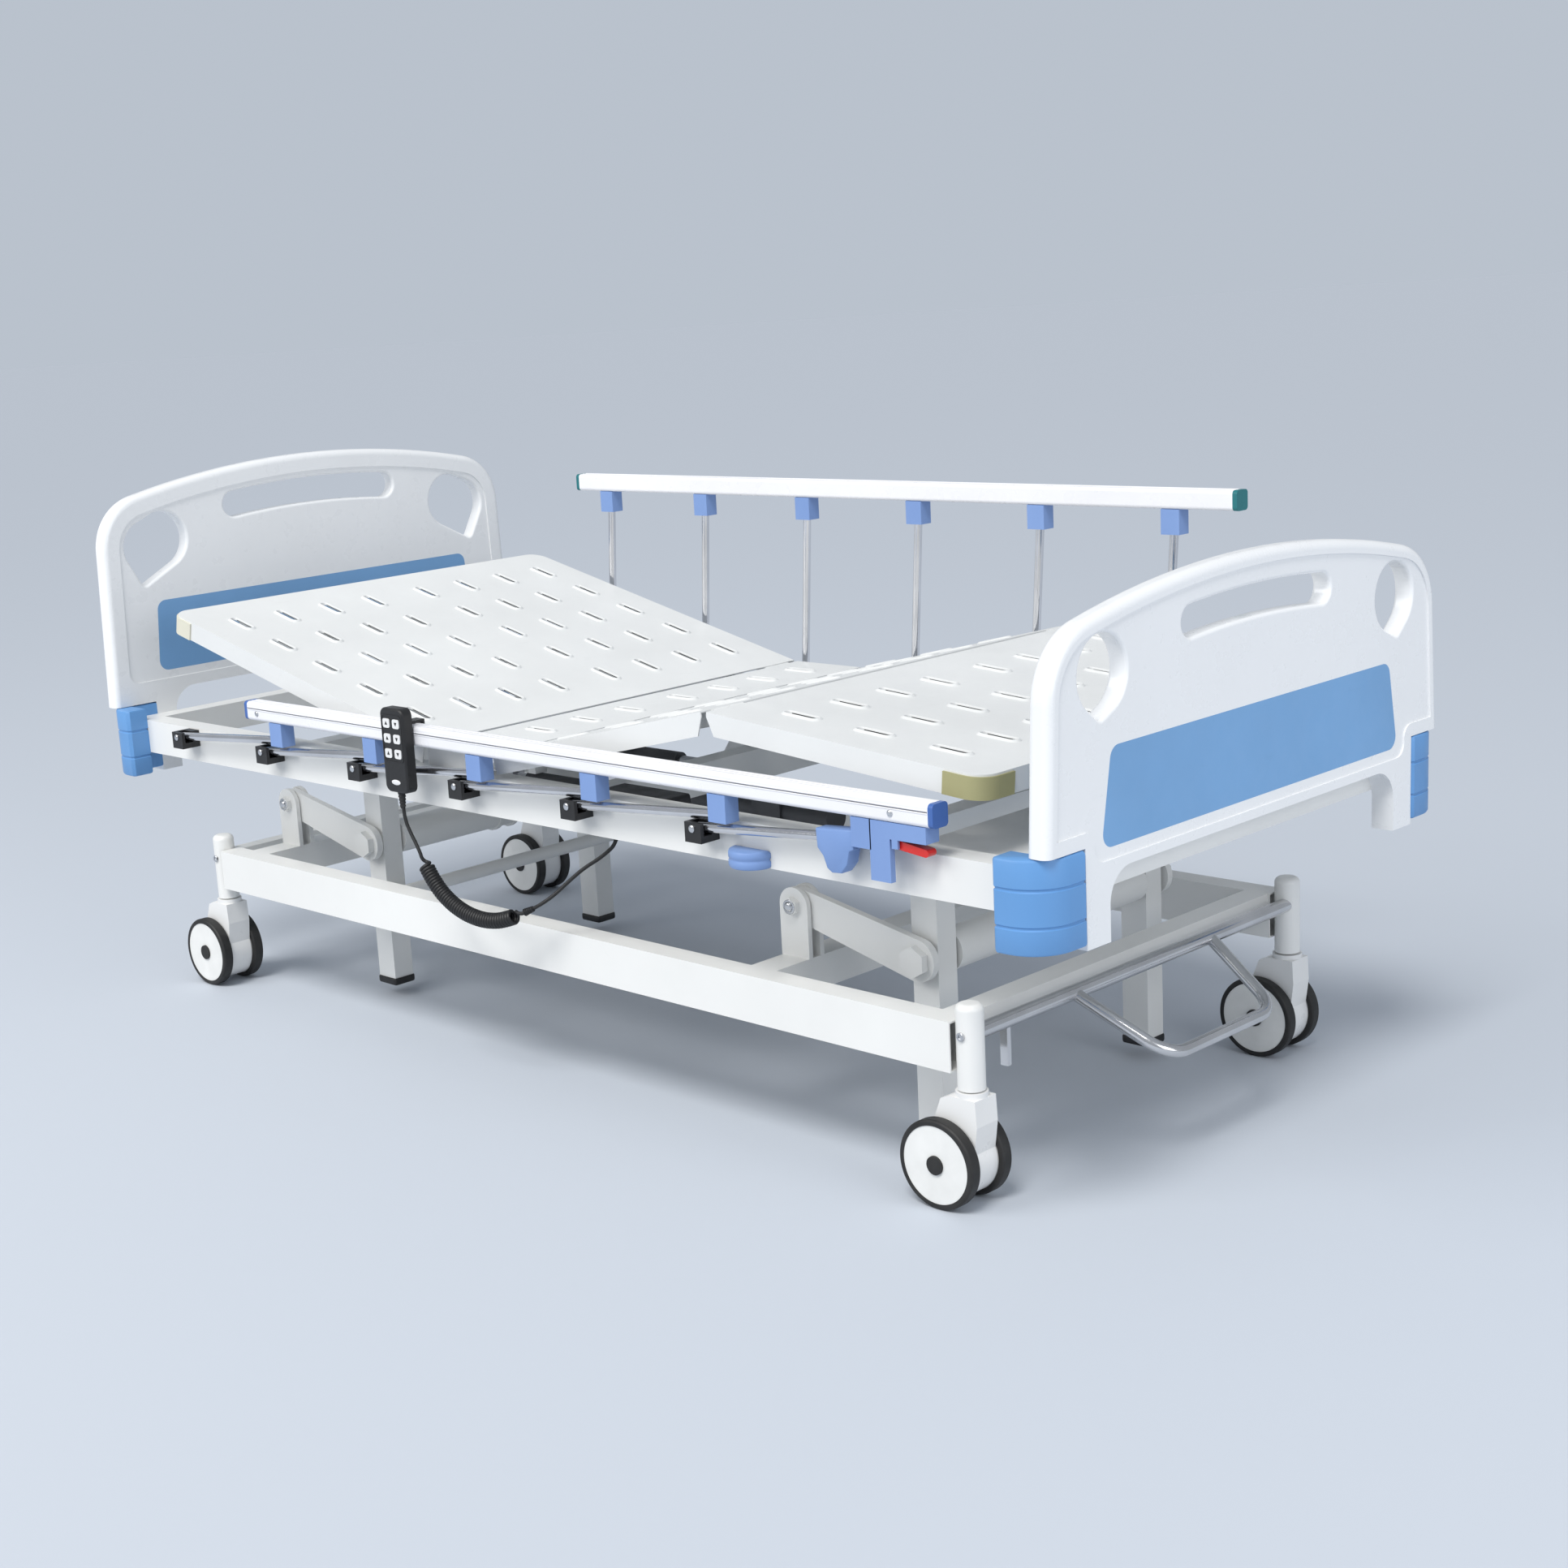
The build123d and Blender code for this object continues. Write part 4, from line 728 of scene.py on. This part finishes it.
def bar_trim(rail, side):
    """Two extruded beads on each bar with a dark strip of painted shade in the groove between them, and
    its end screws.
    """
    low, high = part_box(f"{rail}_rail_bar")
    x0, x1 = low.x / MM, high.x / MM
    top, middle = high.z / MM, (low.z + high.z) / 2 / MM
    ends = (x0 + 1, x1 - 1)
    y_face = side * (RAIL_Y + BAR_WIDTH / 2)
    beads = Shape()
    for z in (middle + 6.5, middle + 3.0):
        outline = arc((0, 0), 1.1, -90, 90, 6)
        rings = [[(x, y_face + side * (u - 0.3), z + v) for u, v in outline] for x in ends]
        beads.grid(rings, caps=True)
    for offset in (-4.0, 4.0):
        outline = arc((0, 0), 1.0, 0, 180, 6)
        rings = [[(x, side * RAIL_Y + offset + u, top + v - 0.3) for u, v in outline] for x in ends]
        beads.grid(rings, caps=True)
    beads.piece(f"{rail}_bar_beads", BAR, "white_aluminium", f"{rail}_rail_top")
    # a thin dark strip between the face beads, painted shade in the groove
    line = Shape()
    corners = [(-0.15, -1.0), (0.15, -1.0), (0.15, 1.0), (-0.15, 1.0)]
    rings = [[(x, y_face + side * u, middle + 4.75 + v) for u, v in corners] for x in ends]
    line.grid(rings, caps=True)
    line.piece(f"{rail}_bar_groove_painted_shade", GROOVE_DARK, "black_plastic", f"{rail}_rail_top", smooth=False)
    screws = Shape()
    for x in (x0 + 28, x1 - 62):
        flat_head(screws, x, y_face - side * 0.4, middle - 3, side, 4.5)
    screws.piece(f"{rail}_bar_screws", ZINC, "drive_rod_steel", f"{rail}_rail_top")


def post_sleeve():
    """Moulded guard with a hook under it, round the last post of the folded rail."""
    pivot_x = RAIL_FIRST["near"] + RAIL_PITCH * (RAIL_POSTS - 1)
    slope = radians(FOLDED_SLOPE)
    outline = [(232, -13), (232, 13), (296, 13), (296, -13), (288, -16)]
    outline += [(282, -34), (270, -46), (254, -46), (246, -40), (241, -24)]
    shape = Shape()

    def place(u, v, d):
        x, z = u * cos(slope) - v * sin(slope), u * sin(slope) + v * cos(slope)
        return pivot_x + x, -RAIL_Y - 12 + d, RAIL_PIVOT_Z + z

    shape.prism(outline, place, ((0, 2.0), (0.8, 0.6), (2.5, 0.0), (21.5, 0.0), (23.2, 0.6), (24, 2.0)))
    shape.piece("post_guard", LAVENDER, "blue_fitting", "near_rail_post_6")


for rail, side in RAIL_SIDE.items():
    bar_trim(rail, side)
post_sleeve()

# ---------------------------------------------------------------- handset trim
HANDSET_X, HANDSET_TOP, HANDSET_FACE = -170.0, 600.0, -499.0
KEY_FACE = HANDSET_FACE - 1.2


def key_signs():
    """An arrow on each key, up in the left column and down in the right one."""
    for row in range(3):
        for column in range(2):
            x, z = HANDSET_X - 12 + 24 * column, HANDSET_TOP - 24 - 24 * row
            way = 1 if column == 0 else -1
            tip = 3.6 * way
            outline = [(-3.4, -tip * 0.7), (3.4, -tip * 0.7), (0, tip)]
            shape = Shape()
            levels = ((0, 0.0), (0.35, 0.0), (0.5, 0.25))
            shape.prism(outline, lambda u, v, d: (x + u, KEY_FACE + 0.2 - d, z + v), levels)
            number = row * 2 + column + 1
            shape.piece(f"key_arrow_{number}", BLACK, "black_plastic", f"handset_key_{number}")


def handset_trim():
    """Blank oval plate and a raised frame round the keys."""
    plate = Shape()
    oval = [(11 * cos(a), 4.2 * sin(a)) for a in (2 * pi * k / 32 for k in range(32))]
    centre_z = 482.0
    levels = ((0, 0.0), (0.6, 0.1), (0.9, 0.6))
    plate.prism(oval, lambda u, v, d: (HANDSET_X + u, HANDSET_FACE + 0.1 - d, centre_z + v), levels)
    plate.piece("handset_plate", KEY, "white_key", "near_rail_top")
    frame_ring = Shape()
    rings = []
    for inset, lift in ((0, -0.2), (0.2, 0.7), (1.0, 0.9), (1.8, 0.7), (2.0, -0.2)):
        outline = rounded(50 - 2 * inset, 76 - 2 * inset, 7)
        rings.append([(HANDSET_X + u, HANDSET_FACE - lift, HANDSET_TOP - 48 + v) for u, v in outline])
    frame_ring.grid(rings)
    frame_ring.piece("handset_key_frame", BLACK, "black_plastic", "near_rail_top")


key_signs()
handset_trim()


# ---------------------------------------------------------------- stage
FLOOR_REACH = 200.0


def make_stage():
    """A plain pale floor that reaches the horizon."""
    material = bpy.data.materials.new("floor")
    material.use_nodes = True
    shader = material.node_tree.nodes["Principled BSDF"]
    shader.inputs["Base Color"].default_value = (0.52, 0.56, 0.62, 1)
    shader.inputs["Roughness"].default_value = 0.8
    mesh = bpy.data.meshes.new("floor")
    r = FLOOR_REACH
    mesh.from_pydata([(-r, -r, 0), (r, -r, 0), (r, r, 0), (-r, r, 0)], [], [(0, 1, 2, 3)])
    mesh.materials.append(material)
    floor = bpy.data.objects.new("floor", mesh)
    bpy.context.scene.collection.objects.link(floor)


def area_light(name, place, target, size, power, colour=(1, 1, 1)):
    data = bpy.data.lights.new(name, "AREA")
    data.shape = "RECTANGLE"
    data.size, data.size_y = size
    data.energy = power
    data.color = colour
    light = bpy.data.objects.new(name, data)
    bpy.context.scene.collection.objects.link(light)
    light.location = place
    light.rotation_euler = (Vector(target) - Vector(place)).to_track_quat("-Z", "Y").to_euler()


def sun_light(name, towards, strength, spread, colour):
    """A wide sun, so the floor is lit alike all over."""
    data = bpy.data.lights.new(name, "SUN")
    data.energy = strength
    data.angle = radians(spread)
    data.color = colour
    light = bpy.data.objects.new(name, data)
    bpy.context.scene.collection.objects.link(light)
    light.rotation_euler = Vector(towards).to_track_quat("-Z", "Y").to_euler()


def make_lights():
    """A pale sky, a wide sun over the near foot corner, and soft key and fill boxes."""
    bpy.context.scene.view_settings.view_transform = "Standard"
    world = bpy.data.worlds.new("studio")
    bpy.context.scene.world = world
    world.use_nodes = True
    tree = world.node_tree
    sky = tree.nodes["Background"]
    sky.inputs["Color"].default_value = (0.80, 0.86, 0.94, 1)
    sky.inputs["Strength"].default_value = 0.52
    backdrop = tree.nodes.new("ShaderNodeBackground")
    backdrop.inputs["Color"].default_value = (0.49, 0.54, 0.61, 1)
    seen = tree.nodes.new("ShaderNodeLightPath").outputs["Is Camera Ray"]
    choice = tree.nodes.new("ShaderNodeMixShader")
    tree.links.new(seen, choice.inputs[0])
    tree.links.new(sky.outputs[0], choice.inputs[1])
    tree.links.new(backdrop.outputs[0], choice.inputs[2])
    tree.links.new(choice.outputs[0], tree.nodes["World Output"].inputs["Surface"])
    sun_light("sun", (-0.26, 0.62, -1.0), 2.0, 22, (1.0, 0.985, 0.96))
    area_light("key", (-1.6, -4.6, 3.4), (0, 0, 0.4), (3.2, 2.4), 120, (1.0, 0.985, 0.96))
    area_light("fill", (4.8, -0.6, 2.0), (0.3, 0, 0.5), (2.6, 2.6), 48, (0.97, 0.98, 1.0))


make_stage()
make_lights()
